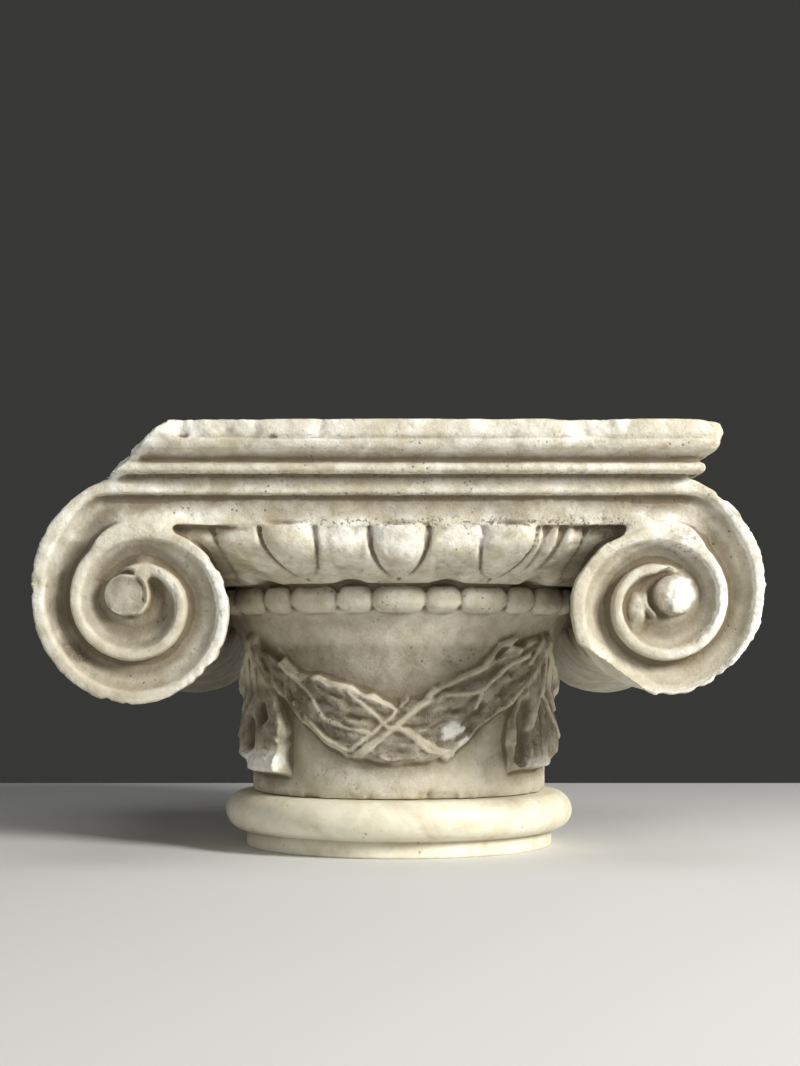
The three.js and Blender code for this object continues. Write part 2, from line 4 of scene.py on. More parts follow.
import bpy
import numpy as np
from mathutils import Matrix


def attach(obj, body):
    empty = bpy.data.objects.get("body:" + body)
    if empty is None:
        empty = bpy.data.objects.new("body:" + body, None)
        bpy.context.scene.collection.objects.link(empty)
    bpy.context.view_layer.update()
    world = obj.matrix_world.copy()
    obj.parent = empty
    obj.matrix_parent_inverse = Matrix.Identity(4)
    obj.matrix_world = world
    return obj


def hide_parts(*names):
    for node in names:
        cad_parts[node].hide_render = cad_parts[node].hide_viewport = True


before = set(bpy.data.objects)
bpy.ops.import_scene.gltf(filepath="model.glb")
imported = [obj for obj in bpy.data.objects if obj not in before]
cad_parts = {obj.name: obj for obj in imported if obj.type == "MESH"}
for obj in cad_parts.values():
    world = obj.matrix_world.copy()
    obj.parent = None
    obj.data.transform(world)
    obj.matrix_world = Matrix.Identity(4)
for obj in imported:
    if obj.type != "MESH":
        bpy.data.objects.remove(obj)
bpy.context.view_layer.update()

# Sizes of the stone in millimetres, the same as the solids have
MM = 0.001
NECK_BOTTOM = 28.4
NECK_RADIUS = 76.0
NECK_FLARE = 4.5
BAND_TOP = 118.0
BEAD_TOP = 131.4
BEAD_BED = 91.0
EGG_FOOT = 103.0
EGG_BROW = 128.0
EGG_COUNT = 14
CHANNEL_BOTTOM = 157.0
CHANNEL_TOP = 171.2
FACE = 131.0
ABACUS_BOTTOM = 177.0
ABACUS_TOP = 203.0
ABACUS_REACH = 146.0
ROLL_REACH = 138.0
SPREAD = 118.3
VOLUTE_HEIGHT = 122.0
VOLUTE_RADIUS = 48.5
SPIRAL = np.array([58.5] + [VOLUTE_RADIUS * s for s in
                            (1, 0.96, 0.852, 0.685, 0.627, 0.536, 0.445, 0.348, 0.318, 0.212)])
EYE_PLACE = (SPREAD + 5.9, VOLUTE_HEIGHT + 3.3)
EYE_RADIUS = 9.6
TURN = 2 * math.pi
SHARP_ANGLE = math.radians(50)
# Depth of the ground round each eye, millimetres along the carved neck for each degree round it, and how
# many degrees from the front the hanging ends are
WELL = 6.2
ARC = 82 * math.pi / 180
END_PLACE = 61


def mix(a, b, t):
    """The straight blend from a to b."""
    return a + (b - a) * t


def clamp(t, low=0.0, high=1.0):
    """The value kept between two limits."""
    return np.minimum(high, np.maximum(low, t))


def smooth(t):
    """Cubic ease: 3t² - 2t³ between 0 and 1."""
    t = clamp(t)
    return t * t * (3 - 2 * t)


def dome(t):
    """Half circle: the height of a unit circle at distance t from its middle."""
    return np.sqrt(np.maximum(0.0, 1 - t * t))


def hump(t):
    """Bell curve exp(-t²)."""
    return np.exp(-t * t)


def places(x, y, z):
    """Points from three coordinates, each an array or one number for all of them."""
    return np.stack(np.broadcast_arrays(x, y, z), -1)


def round_ring(degrees, radius, height, turned=0.0):
    """Points round the axis at a radius and height: 0 degrees is the front, each turned by some radians."""
    a = np.radians(degrees) + turned
    return places(radius * np.sin(a), -radius * np.cos(a), height)


def cell_value(x, y, z, seed):
    """A fixed number from 0 to 1 for each whole-number cell, from its three indices mixed together."""
    h = (x * 374761393 + y * 668265263 + z * 1440662683 + seed * 971215073) & 0xFFFFFFFF
    h = ((h ^ (h >> 13)) * 1274126177) & 0xFFFFFFFF
    return ((h ^ (h >> 16)) & 0xFFFF) / 65535.0


def corners(share):
    """The eight corners of a cell: the steps to each, and its weight at a share of the way on each axis."""
    for i in (0, 1):
        for j in (0, 1):
            for k in (0, 1):
                wx = share[..., 0] if i else 1 - share[..., 0]
                wy = share[..., 1] if j else 1 - share[..., 1]
                wz = share[..., 2] if k else 1 - share[..., 2]
                yield i, j, k, wx * wy * wz


def noise(points, size, seed=0):
    """Value noise from -1 to 1: the eight corners of each cell of the given size, blended by cubic ease."""
    p = np.asarray(points) / size
    cell = np.floor(p).astype(np.int64)
    share = p - cell
    total = 0.0
    for i, j, k, weight in corners(share * share * (3 - 2 * share)):
        total = total + weight * cell_value(cell[..., 0] + i, cell[..., 1] + j, cell[..., 2] + k, seed)
    return 2 * total - 1


def rough(points, size, seed=0, octaves=3):
    """Layered noise: each layer is half the size and half the height of the one before."""
    total = 0.0
    for i in range(octaves):
        total = total + noise(points, size / 2 ** i, seed + i) / 2 ** i
    return total


def line_distance(x, y, path):
    """The shortest distance from each point to an open line through the path's points."""
    best = np.full(np.shape(x), 1e9)
    for (ax, ay), (bx, by) in zip(path[:-1], path[1:]):
        dx, dy = bx - ax, by - ay
        t = clamp(((x - ax) * dx + (y - ay) * dy) / (dx * dx + dy * dy))
        best = np.minimum(best, np.hypot(x - ax - t * dx, y - ay - t * dy))
    return best


def closed_shell(rings):
    """Triangles over a stack of rings, with the first and last ring closed by a fan about its middle."""
    n, m = rings.shape[:2]
    points = np.concatenate([rings.reshape(-1, 3), rings[0].mean(0)[None], rings[-1].mean(0)[None]])
    row = np.arange(n - 1)[:, None] * m
    here = np.arange(m)[None, :]
    after = (here + 1) % m
    a, b, c, d = row + here, row + after, row + m + after, row + m + here
    skin = [np.stack([a, b, c], -1).reshape(-1, 3), np.stack([a, c, d], -1).reshape(-1, 3)]
    here, after = here[0], after[0]
    skin.append(np.stack([after, here, np.full(m, n * m)], -1))
    top = (n - 1) * m
    skin.append(np.stack([top + here, top + after, np.full(m, n * m + 1)], -1))
    skin = np.concatenate(skin)
    p, q, r = points[skin[:, 0]], points[skin[:, 1]], points[skin[:, 2]]
    if np.einsum("ij,ij->i", p, np.cross(q, r)).sum() < 0:
        skin = skin[:, ::-1]
    return points, skin


def mesh_of(name, shells):
    """One mesh object in metres from closed shells in millimetres."""
    points, skins, offset = [], [], 0
    for shell_points, skin in shells:
        points.append(shell_points)
        skins.append(skin + offset)
        offset += len(shell_points)
    points = np.concatenate(points) * MM
    skin = np.concatenate(skins).astype(np.int32)
    mesh = bpy.data.meshes.new(name)
    mesh.vertices.add(len(points))
    mesh.vertices.foreach_set("co", points.astype(np.float32).ravel())
    mesh.loops.add(skin.size)
    mesh.loops.foreach_set("vertex_index", skin.ravel())
    mesh.polygons.add(len(skin))
    mesh.polygons.foreach_set("loop_start", np.arange(0, skin.size, 3, dtype=np.int32))
    mesh.update(calc_edges=True)
    piece = bpy.data.objects.new(name, mesh)
    bpy.context.scene.collection.objects.link(piece)
    return piece


# Garland on the neck: every place is (degrees round from the front, height)
UPPER_EDGE = [(-62, 105), (-45, 99.5), (-37.4, 90.2), (-28, 86.9), (-18.8, 83.1), (-5.7, 76.9), (0, 73.2),
              (12.5, 78.9), (17.7, 83.1), (31.3, 93.2), (40.5, 101.4), (58.6, 108)]
LOWER_EDGE = [(-60, 97.5), (-50.4, 83.5), (-43.9, 73), (-38.4, 66), (-26, 54.2), (-18.4, 50), (-2, 45.8),
              (8.7, 46.9), (20.6, 52.4), (29.4, 61), (37.4, 68), (44, 72.7), (57, 84)]
RIBBONS = [
    [(-19.1, 50), (-2.5, 68.4), (2.5, 77)],
    [(-16.2, 48.9), (0.2, 66), (12.5, 81.3)],
    [(-13.3, 49), (2.5, 68.2), (13.5, 80.3)],
    [(-17.3, 80.3), (-4.1, 63.6), (2.5, 62.2), (13.1, 52.6), (19.4, 50.5)],
    [(-12.5, 78.9), (-0.8, 72.2)],
    [(0.5, 62.7), (10.5, 51.6), (17.6, 49.1)],
    [(-45.2, 93.6), (-32.7, 80.1), (-26.8, 66.7), (-19.4, 63.5), (-10.8, 61.2)],
    [(-57.5, 97), (-50.4, 84.5), (-43.9, 74.5), (-32.7, 61.5), (-26, 55.4), (-18.7, 51)],
    [(-35.6, 68.4), (-26.8, 58), (-18.4, 52.5)],
    [(12.5, 80.3), (22, 87), (30.7, 92.2), (36.9, 102), (44, 106)],
    [(16.6, 78.4), (28.7, 80.1), (35.6, 87.3), (41.5, 93.6), (50.9, 98)],
    [(27.9, 72.4), (29.5, 79.2)],
    [(42.9, 72.6), (49.2, 80.8), (56, 90), (61, 101)],
    [(52.1, 94), (59, 108)],
]
DROP_RIBBONS = [
    [(59, 78), (52.1, 62.4), (43.9, 53.9)],
    [(60.5, 78), (70.8, 64), (78.6, 54.4)],
    [(61, 100), (60, 78)],
    [(64, 98), (66, 80), (73, 70)],
]
# Dark places of the front garland and the right hanging end: (millimetres along the neck, height)
LEAF_RECESS = [(24, 82.5), (36, 86.5), (52, 91)]
UPPER_SLOT = [(-79, 103), (-72, 100.8), (-66, 97)]
END_EDGE = [(72, 74), (69, 64), (68, 47)]


def on_neck(path):
    """A path's degrees turned into millimetres along the neck."""
    return [(degrees * ARC, height) for degrees, height in path]


def neck_radius(z):
    """Plain below, swelling by cubic ease at half height, then flaring out smoothly up to the beads."""
    swell_height, flare_height, flare = 76.1, 24.0, 9.6
    swell = NECK_FLARE * smooth(2 * (z - NECK_BOTTOM) / swell_height - 1)
    return NECK_RADIUS + swell + flare * clamp((z - BAND_TOP) / flare_height + 1) ** 2.2


def leaf_scales(along, across, length, width):
    """Leaves in staggered rows: each a dome across its width, rising to a pointed tip, with a vein groove."""
    row = np.round(across / width)
    shift = cell_value(row.astype(np.int64), 0, 0, 5)
    step = along / length + 0.5 * row + 0.4 * shift
    share = step - np.floor(step)
    off = (across / width - row) * 2
    broad = np.sin(np.pi * clamp(share, 0.03, 0.97)) ** 0.55
    body = dome(clamp(off / broad, -1, 1)) * mix(0.45, 1.0, share)
    return body - 0.35 * hump(off / 0.16) * broad


def swag_relief(degrees, z, worn):
    """Front garland over the neck: a lift between its two edges, with leaves, veins, ribbons and sockets."""
    arc = degrees * ARC
    wander = places(arc, z, 0)
    upper = np.interp(degrees, *np.array(UPPER_EDGE).T) + 1.2 * noise(wander, 6, 11)
    lower = np.interp(degrees, *np.array(LOWER_EDGE).T) + 1.2 * noise(wander, 7, 12)
    inside = np.minimum(z - lower, upper - z)
    ends = smooth((63 - np.abs(degrees)) / 5)
    lift = mix(3.4, 5.4, smooth((50 - np.abs(degrees)) / 34)) * smooth(inside / 3.0 + 0.35) * ends
    # Leaves run up along the garland from its middle to both ends
    middle = (upper + lower) / 2
    side = np.where(degrees < -3, -1.0, 1.0)
    slope = np.arctan(np.gradient(middle[0], arc[0]))
    across = (z - middle) * np.cos(slope) + 1.1 * noise(wander, 7, 13)
    along = np.abs(arc + 3.5) / np.cos(slope) + side * 3 + 2.2 * noise(wander, 9, 14)
    leaves = leaf_scales(along + across * 1.2, across, 27.0, 6.4)
    streak = places(along * 0.32, across, 0)
    veins = 0.9 * noise(streak, 2.6, 16) + 0.5 * noise(streak * np.array([1.6, 1, 1]), 1.7, 10)
    carving = 1.6 * (leaves - 0.75) + veins + 0.9 * noise(wander, 8.0, 15)
    relief = lift + carving * smooth(inside / 2.5) * ends * worn
    # Dark leaf-shaped recess at the right, and the drilled slot at the upper left
    recess = smooth(1 - line_distance(arc, z, LEAF_RECESS) / 6.0)
    relief = mix(relief, 1.6 + 0.5 * noise(wander, 6, 17), recess * 0.9)
    slot = smooth(1.35 - line_distance(arc, z, UPPER_SLOT) / 2.6)
    relief = relief - 5.0 * slot * worn
    wide = 1.25 + 0.45 * noise(wander, 8, 9)
    wavy_arc = arc + 0.5 * noise(wander, 6, 18)
    wavy_z = z + 0.5 * noise(wander, 6, 19)
    high = np.maximum(lift - 0.3, 2.0)
    for path in RIBBONS:
        d = line_distance(wavy_arc, wavy_z, on_neck(path))
        relief = mix(relief, np.minimum(relief, high - 0.9), 0.6 * hump(d / 2.2))
        relief = np.maximum(relief, mix(relief, high + 0.4 + 0.3 * wide, smooth((wide - d) / 0.8)))
    return relief


def drop_relief(degrees, z, right, worn):
    """Hanging end under a knot: widens downwards, cut off level, with leaf lumps, ribbons and holes."""
    arc = degrees * ARC
    middle = END_PLACE * ARC
    wander = places(arc, z, 40 if right else 0)
    half = np.interp(z, [40, 60, 74, 84, 96, 108], [24, 24.5, 21, 15, 9, 7]) + 1.2 * noise(wander, 8, 21)
    inside = np.minimum(half - np.abs(arc - middle), (z - (41.0 if right else 39.0)) * 1.1)
    lift = np.interp(z, [38, 60, 80, 104], [9.0, 8.4, 6.2, 4.2]) * smooth(inside / 3.0 + 0.3)
    along = 84 - z + 1.8 * noise(wander, 6, 22)
    leaves = leaf_scales(along, arc - middle + 1.5 * noise(wander, 6, 23), 22.0, 8.0)
    carving = (1.7 if right else 0.7) * (leaves - 0.8)
    carving = carving + 0.7 * noise(wander, 5, 24) + 0.4 * rough(wander, 3, 25, 2)
    relief = lift + carving * smooth(inside / 3) * worn
    wavy_arc = arc + 0.5 * noise(wander, 6, 26)
    for path in DROP_RIBBONS:
        d = line_distance(wavy_arc, z, on_neck(path))
        relief = mix(relief, lift - 1.5, hump(d / 2.6) * (0.6 if right else 0.2))
        relief = np.maximum(relief, mix(relief, lift + 0.7, smooth((1.3 - d) / 0.8) * (inside > -3)))
    if right:
        dark = line_distance(arc, z, [(middle - 15, 73), (middle - 18, 64), (middle - 19, 47)])
        ground = 2.6 + 0.5 * noise(wander, 4, 30)
        relief = mix(relief, ground, smooth(1.5 - dark / 4.2) * (inside > 0.6))
    else:
        hole = line_distance(arc / 1.6, z, [((middle + 8) / 1.6, 62), ((middle + 7) / 1.6, 55)])
        relief = mix(relief, 2.0, smooth(1.6 - hole / 4.4) * smooth((middle + 18 - arc) / 3))
        hole = line_distance(arc, z, [(middle - 6, 70.5), (middle - 8, 68)])
        relief = mix(relief, 1.6, smooth(1.6 - hole / 3.6) * (inside > 0))
        chunk = smooth((52 - z) / 5) * smooth(inside / 2)
        relief = mix(relief, lift + 0.8 + 1.2 * rough(wander, 5, 27, 3), chunk)
    # The outer lower corner is broken away
    relief = relief - 6.5 * smooth((50 - z) / 10) * smooth((arc - middle - 3) / 9)
    return np.maximum(relief, -0.5)


def side_swag_relief(degrees, z):
    """Short garland at each side, 90 degrees round: a sagging roll with plain leaf scales."""
    arc = (degrees - 90) * ARC
    span = 29 * ARC
    share = clamp(np.abs(arc) / span)
    middle = 100.5 - 21 * (1 - share ** 1.7)
    half = mix(8.5, 5.0, share)
    off = (z - middle) / half
    lift = 6.4 * dome(clamp(off, -1, 1)) * smooth((1.06 - share) * 8)
    leaves = leaf_scales(np.abs(arc) + np.abs(z - middle) * 0.4, z - middle, 11.0, 6.5)
    scales = 1.8 * (leaves - 0.8) * smooth((1 - np.abs(off)) * 3)
    return np.where((np.abs(off) < 1) & (np.abs(arc) < span), lift + scales, 0)


def neck_relief(degrees, z):
    """All the carving on the neck: front and back garlands, hanging ends, side garlands and knots."""
    turned = (degrees + 180) % 360 - 180
    front = np.abs(turned) < 90
    facing = np.where(front, turned, (180 - turned + 180) % 360 - 180)
    near = front[0]
    relief = np.zeros(np.broadcast(degrees, z).shape)
    for mask, worn in ((near, 1.0), (~near, 0.8)):
        a = facing[:, mask]
        order = np.argsort(a[0])
        a, h = a[:, order], z[:, mask][:, order]
        part = np.maximum(swag_relief(a, h, worn), 0)
        part = np.maximum(part, drop_relief(a, h, True, worn))
        part = np.maximum(part, drop_relief(-a, h, False, worn))
        knot = 5.0 * dome(clamp(np.hypot((np.abs(a) - END_PLACE) * 1.43, h - 102) / 7.5))
        part = np.maximum(part, knot + 0.8 * noise(places(a, h, 0), 4, 28) * (knot > 0))
        part = np.maximum(part, side_swag_relief(np.abs(a), h))
        back = np.empty_like(part)
        back[:, order] = part
        relief[:, mask] = back
    plain = 0.25 * noise(places(degrees * 1.4, z, 0), 14, 29)
    foot = smooth((z - NECK_BOTTOM) / 6)
    return np.maximum(relief, 0) * foot * smooth((110 - z) / 6) + plain * foot


def egg_relief(turns, share, degrees, points):
    """Egg row: eggs flush with broad tongues, parted by U-shaped grooves; one slim dart at the right."""
    cell = (turns + np.sin(turns * 2 * TURN) / 150) * EGG_COUNT
    across = cell - np.round(cell)
    off = np.abs(across)
    half = 0.238 * dome(clamp((0.72 - share) / 0.63, 0, 1)) ** 0.9 * mix(1.0, 1.04, share)
    pitch = 54.0
    d = (off - half) * pitch
    d = np.where(share < 0.09, np.hypot(off * pitch, clamp((0.09 - share) * 36, 0, 6)), d)
    egg = dome(clamp(1 + np.minimum(d, 0) / 12.5)) * 4.4 - 3.2
    tongue = -0.9 + 0.9 * smooth((off - 0.34) / 0.12)
    groove = hump((d - 0.9) / 0.9)
    relief = np.where(d < 0.9, egg, tongue) - 3.0 * groove
    # The tongues' lower ends are bruised
    bruise = smooth((0.52 - share) / 0.3) * smooth((off - 0.31) / 0.07)
    relief = relief + bruise * (2.0 * rough(points, 7, 31, 3) - 1.2)
    # The tongue at the right of the third egg is cut back to a slim dart
    hollow = smooth((degrees - 30.6) / 1.2) * smooth((37.6 - degrees) / 0.8) * smooth((share - 0.12) / 0.2)
    dart = hump((degrees - 34.4 + (1 - share) * 0.6) / 1.2)
    return mix(relief, -3.8 + 3.4 * dart, hollow)


def bead_relief(turns, share):
    """Bead row: long pillows under the eggs and short ones between, each rounded four ways."""
    cell = turns * EGG_COUNT
    off = np.abs(cell - np.round(cell))
    high = 2 * share - 0.98
    long = dome(clamp(np.hypot(np.abs(off / 0.297) ** 1.8, np.abs(high) ** 1.5)))
    short = dome(clamp(np.hypot(np.abs((0.5 - off) / 0.205) ** 1.5, np.abs(high) ** 1.35)))
    return 4.4 * np.maximum(long, short * 0.97) ** 0.85


def neck_rings(degrees):
    """Neck from its bed up: its radius plus the carving, less what its chipped lower edge has lost."""
    chip = noise(places(degrees * 1.35, 0, 0), 5, 33)
    knocked = noise(places(degrees, 0, 0), 9, 34)
    arris = 0.7 + 1.3 * smooth(chip * 1.6) + 2.4 * smooth((knocked - 0.35) * 4)
    foot = [round_ring(degrees, 60, NECK_BOTTOM), round_ring(degrees, NECK_RADIUS - arris, NECK_BOTTOM)]
    heights = np.arange(NECK_BOTTOM + 0.8, BAND_TOP - 0.2, 0.55)
    grid_a, grid_z = np.meshgrid(degrees, heights)
    lost = arris * smooth(1 - (grid_z - NECK_BOTTOM) / (arris + 1.6))
    reach = neck_radius(grid_z) + (neck_relief(grid_a, grid_z) - lost)
    return foot + list(round_ring(grid_a, reach, grid_z))


def bead_rings(degrees):
    """Bead row: a bed that curves out by a square root, plus the beads' relief and a little roughness."""
    rings = []
    for share in np.linspace(0.02, 0.98, 26):
        bead = bead_relief(degrees / 360, share) + 0.5 * noise(places(degrees, share * 9, 0), 5, 36)
        bed = BEAD_BED - 1.0 + 2.8 * math.sqrt(min(1.0, share * 3))
        rings.append(round_ring(degrees, bed + bead, mix(BAND_TOP, BEAD_TOP, share)))
    return rings


def egg_rings(degrees):
    """Egg row: a ledge over the beads, then a quarter round that is drawn forward at the front and back."""
    turns = degrees / 360
    cell = turns * EGG_COUNT
    arch = 1.9 * smooth((np.abs(cell - np.round(cell)) - 0.28) / 0.2)
    rings = []
    for radius, lift in ((91.5, 0.2), (95, 0.5), (99, 0.5), (101.6, 0.2)):
        rings.append(round_ring(degrees, radius, BEAD_TOP + lift + arch))
    a = np.radians(degrees)
    toward = np.sign(np.sin(a)) * np.sign(np.cos(a))
    for share in np.linspace(0.0, 1.0, 66) ** 1.15:
        radius = mix(EGG_FOOT, EGG_BROW, math.sin(share * math.pi / 2) ** 0.85)
        height = mix(BEAD_TOP, CHANNEL_BOTTOM, share) + arch * (1 - share) ** 3
        across = np.abs(radius * np.sin(a))
        depth = np.abs(radius * np.cos(a))
        # Towards the top the row lies level with the channel band, up to the volutes
        full = np.maximum(depth, mix(126.4, 119.6, smooth((across - 58) / 34)))
        drawn = mix(depth, full, smooth(share / 0.8) * smooth((127 - across) / 11))
        radius = np.hypot(across, drawn)
        shift = np.arctan2(across, drawn) - np.arctan2(across, depth)
        relief = egg_relief(turns, share, degrees, round_ring(degrees, radius, height))
        rings.append(round_ring(degrees, radius + relief, height, shift * toward))
    rings.append(round_ring(degrees, EGG_BROW - 12, CHANNEL_BOTTOM + 1.5))
    return rings


def round_part():
    """Neck, beads and eggs as one pile of rings."""
    columns = 1080
    degrees = np.arange(columns) * 360.0 / columns - 180
    return closed_shell(np.array(neck_rings(degrees) + bead_rings(degrees) + egg_rings(degrees)))


def spiral_radius(quarters):
    """Outer edge of the spiral after a number of quarter turns: a smooth cubic through each listed radius."""
    last = len(SPIRAL) - 1
    i = np.clip(np.floor(quarters), 0, last - 1).astype(int)
    t = quarters - i
    a, b, c, d = (SPIRAL[np.clip(i + k, 0, last)] for k in (-1, 0, 1, 2))
    return b + (t * (c - a + t * (2 * a - 5 * b + 4 * c - d + t * (3 * (b - c) + d - a)))) / 2


def outline_radius(quarters):
    """Outline of a volute: one turn of the spiral, closed inside the channel band at the top."""
    return mix(spiral_radius(quarters), SPIRAL[0], smooth((quarters - 3.65) / 0.35))


def scoop(u):
    """Hollow of a channel: a small step at the rim (u = 1), deepest near the next turn, steep at u = 0."""
    u = clamp(u)
    return (0.2 + 0.8 * (1 - u ** 2.2) ** 0.8) * smooth(u / 0.07)


def cavetto(t, lip):
    """Hollow of the channel band: from the lip's depth (t = 0) to 4.2 mm, then sharply out (t = 1)."""
    t = clamp(t)
    return (mix(lip, 4.2, smooth(t / 0.8)) + 0.9 * dome(2 * t - 1)) * smooth((1 - t) / 0.08)


def face_depth(x, z, side):
    """How far the volute face and the channel band lie behind the face plane, at a place on the plane."""
    px = np.abs(x) - SPREAD
    pz = z - VOLUTE_HEIGHT
    rho = np.hypot(px, pz)
    q = (np.arctan2(px, pz) / (TURN / 4)) % 4.0
    upright = np.maximum(np.cos(q * TURN / 4), 0.3)
    lip = mix(3.6, 5.2, smooth((np.abs(x) - 25) / 30)) * smooth((112 - np.abs(x)) / 22)
    band = cavetto((z - CHANNEL_BOTTOM) / (CHANNEL_TOP - CHANNEL_BOTTOM), lip)
    depth = np.where(z < CHANNEL_TOP, band, 0.0) * smooth((z - 150.0) / 3.0)
    depth = np.where(rho < 16, WELL, depth)
    for turn in (0, 1, 2):
        quarters = q + 4 * turn
        wound = clamp(quarters / 9.4)
        start = 1 - smooth(quarters * 2)
        mouth = start * (turn == 0)
        rim = mix(7.0, 4.4, clamp(wound * 1.8)) + (1.6 if side > 0 else 0.0) * hump(quarters - 3.0)
        here = spiral_radius(np.minimum(quarters, 10))
        outer = mix(here - rim, (CHANNEL_TOP - VOLUTE_HEIGHT) / upright, mouth)
        low = (CHANNEL_BOTTOM + 0.7 - VOLUTE_HEIGHT) / upright
        after = spiral_radius(np.minimum(quarters + 4, 10)) if turn < 2 else 6.0
        inner = mix(after, np.minimum(low, outer - 2), mouth)
        u = (rho - inner) / np.maximum(outer - inner, 1.0)
        hollow = scoop(mix(u, np.maximum(u, 0.1), smooth((quarters - 4.3) / 0.35)))
        bowl = mix(8.2 * mix(1, 0.78, wound) * hollow, cavetto(u, lip), mouth)
        zone = (rho > inner) & (rho <= here + 0.01) & (quarters < 10.2)
        if turn == 0:
            zone = zone & ((q > 0) | (rho < SPIRAL[4])) & ~((q > 3.3) & (rho > spiral_radius(q)))
        late = smooth((quarters - 8.3) / 0.35)
        depth = np.where(zone, mix(np.where(rho < outer, bowl, 0.0), WELL, late), depth)
        # The rim's top is a little rounded, and sinks to a thin line outside each inner turn
        edge = np.abs(2 * clamp((rho - outer) / np.maximum(rim, 1.0)) - 1)
        depth = depth + np.where(zone & (rho >= outer), 0.35 * edge ** 3, 0.0) * (1 - start)
    return depth


def eye_depth(x, z, depth, side, front):
    """Eye and the curl of the last turn, laid into the face: a flat disc, a groove round it and a hook."""
    ex = np.abs(x) - EYE_PLACE[0]
    ez = z - EYE_PLACE[1]
    d = np.hypot(ex, ez)
    turn = np.degrees(np.arctan2(ez, -ex))
    grit = places(x, z, 0)
    depth = np.where(d < EYE_RADIUS + 3.4, mix(WELL, depth, smooth((d - EYE_RADIUS - 1.2) / 2.2)), depth)
    if side < 0 or not front:
        # The last rim runs into the eye at its upper inner side, and a thin ridge hooks down round the disc
        join = hump(np.hypot(ex + 8.4, ez - 10.2) / 4.6)
        depth = mix(depth, 1.0 + 0.2 * noise(grit, 3, 41), clamp(join * 1.7))
        reach = smooth((turn + 80) / 30) * smooth((62 - turn) / 14)
        disc = smooth((EYE_RADIUS + 1.9 * reach - d) / 0.7 + 0.5)
        top = 1.5 + 0.3 * rough(grit, 4, 42, 3) - 0.9 * reach * smooth((d - EYE_RADIUS - 0.1) / 0.5)
        depth = mix(depth, top + 1.3 * reach * hump((d - EYE_RADIUS + 0.5) / 0.7), disc)
    else:
        lump = smooth(1.5 - np.hypot(ex + 17.0, (ez + 7.5) / 2.0) / 4.0)
        depth = mix(depth, 2.4 + 1.4 * rough(grit, 4, 43, 3), lump)
        hook = hump((np.hypot(ex + 3.5, ez + 1.0) - 9.4) / 1.1) * smooth((-ex - 7) / 2) * smooth((2 - ez) / 4)
        depth = mix(depth, 2.2, hook)
        disc = smooth((EYE_RADIUS - 0.4 - d) / 0.9 + 0.5)
        fresh = smooth((ez * 0.35 - ex + 1.5) / 1.6)
        slope = 1.5 + 0.30 * np.maximum(ex, 0) + 0.5 * rough(grit, 4, 45, 3)
        top = mix(slope, 2.6 + 0.4 * rough(grit, 3.5, 44, 3), fresh)
        depth = mix(depth, top, disc)
    return depth


def worn_outline(outline, q, side):
    """Outline of a front volute, frayed by noise; the right one is smaller, with a rim broken flat."""
    turn = q * TURN / 4
    spot = places(np.sin(turn) * 40, np.cos(turn) * 40, 9 * side)
    worn = outline - 0.7 * smooth(noise(spot, 9, 51) * 1.4) - 0.9 * smooth(noise(spot, 4, 52) * 2 - 0.6)
    if side < 0:
        return worn
    quarters = [0, 0.6, 1.0, 1.5, 2.0, 2.5, 3.0, 3.6, 4]
    worn = worn - np.interp(q, quarters, [0, 0.4, 0.6, 4.2, 3.6, 1.0, 0.3, 0.5, 0])
    fall, flat = math.radians(54.8), 36.6
    toward = -np.sin(turn) * math.cos(fall) - np.cos(turn) * math.sin(fall)
    limit = np.where(toward > 0.2, (flat + 0.8 * noise(spot, 6, 53)) / np.maximum(toward, 0.2), 1e9)
    return np.minimum(worn, limit)


def waist(y):
    """Bolster's size along its length: 0.72 at the middle, flaring to its faces, with a low triple belt."""
    scale = mix(0.72, 1.0, min(1.0, abs(y) / (FACE - 8)) ** 2.4)
    ridges = hump((abs(y) - 13) / 2.2) + hump(abs(y) / 3.0)
    belt = 0.045 * smooth((13.5 - abs(y)) * 1.2) + 0.03 * ridges
    return scale + belt * 0.9


def volute(side):
    """Bolster with its two spiral faces: face rings of growing radius, then the side, then the other face."""
    columns = 720
    q = np.arange(columns) * 4.0 / columns
    turn = q * TURN / 4
    outline = outline_radius(q)
    front_outline = worn_outline(outline, q, side)
    shoulder = (1.4, 3.0, 5.0, 7.0)
    rows = []

    def plane(radius):
        return side * (SPREAD + radius * np.sin(turn)), VOLUTE_HEIGHT + radius * np.cos(turn)

    def add(radius, y):
        x, z = plane(radius)
        rows.append(places(x, y, z))

    def face(edge, front):
        shares = np.linspace(0.004, 1, 120)
        for share in shares if front else shares[::-1]:
            x, z = plane(edge * share)
            depth = eye_depth(x, z, face_depth(x, z, side), side, front)
            depth = depth + 0.6 * smooth((share - 0.975) / 0.025) ** 2
            add(edge * share, depth - FACE if front else FACE - depth)
        return depth

    brink = face(front_outline, True)
    for depth in shoulder:
        add(front_outline * mix(1.0, 0.985, depth / 7), np.maximum(depth, brink + 0.1 * depth) - FACE)
    for y in np.linspace(-(FACE - 9), FACE - 9, 120):
        blend = smooth((-y - (FACE - 40)) / 30)
        add(mix(outline, front_outline, blend) * waist(y), y)
    brink = face_depth(*plane(outline), side)
    for depth in shoulder[::-1]:
        add(outline * mix(1.0, 0.985, depth / 7), FACE - np.maximum(depth, brink + 0.1 * depth))
    face(outline, False)
    return closed_shell(np.array(rows))


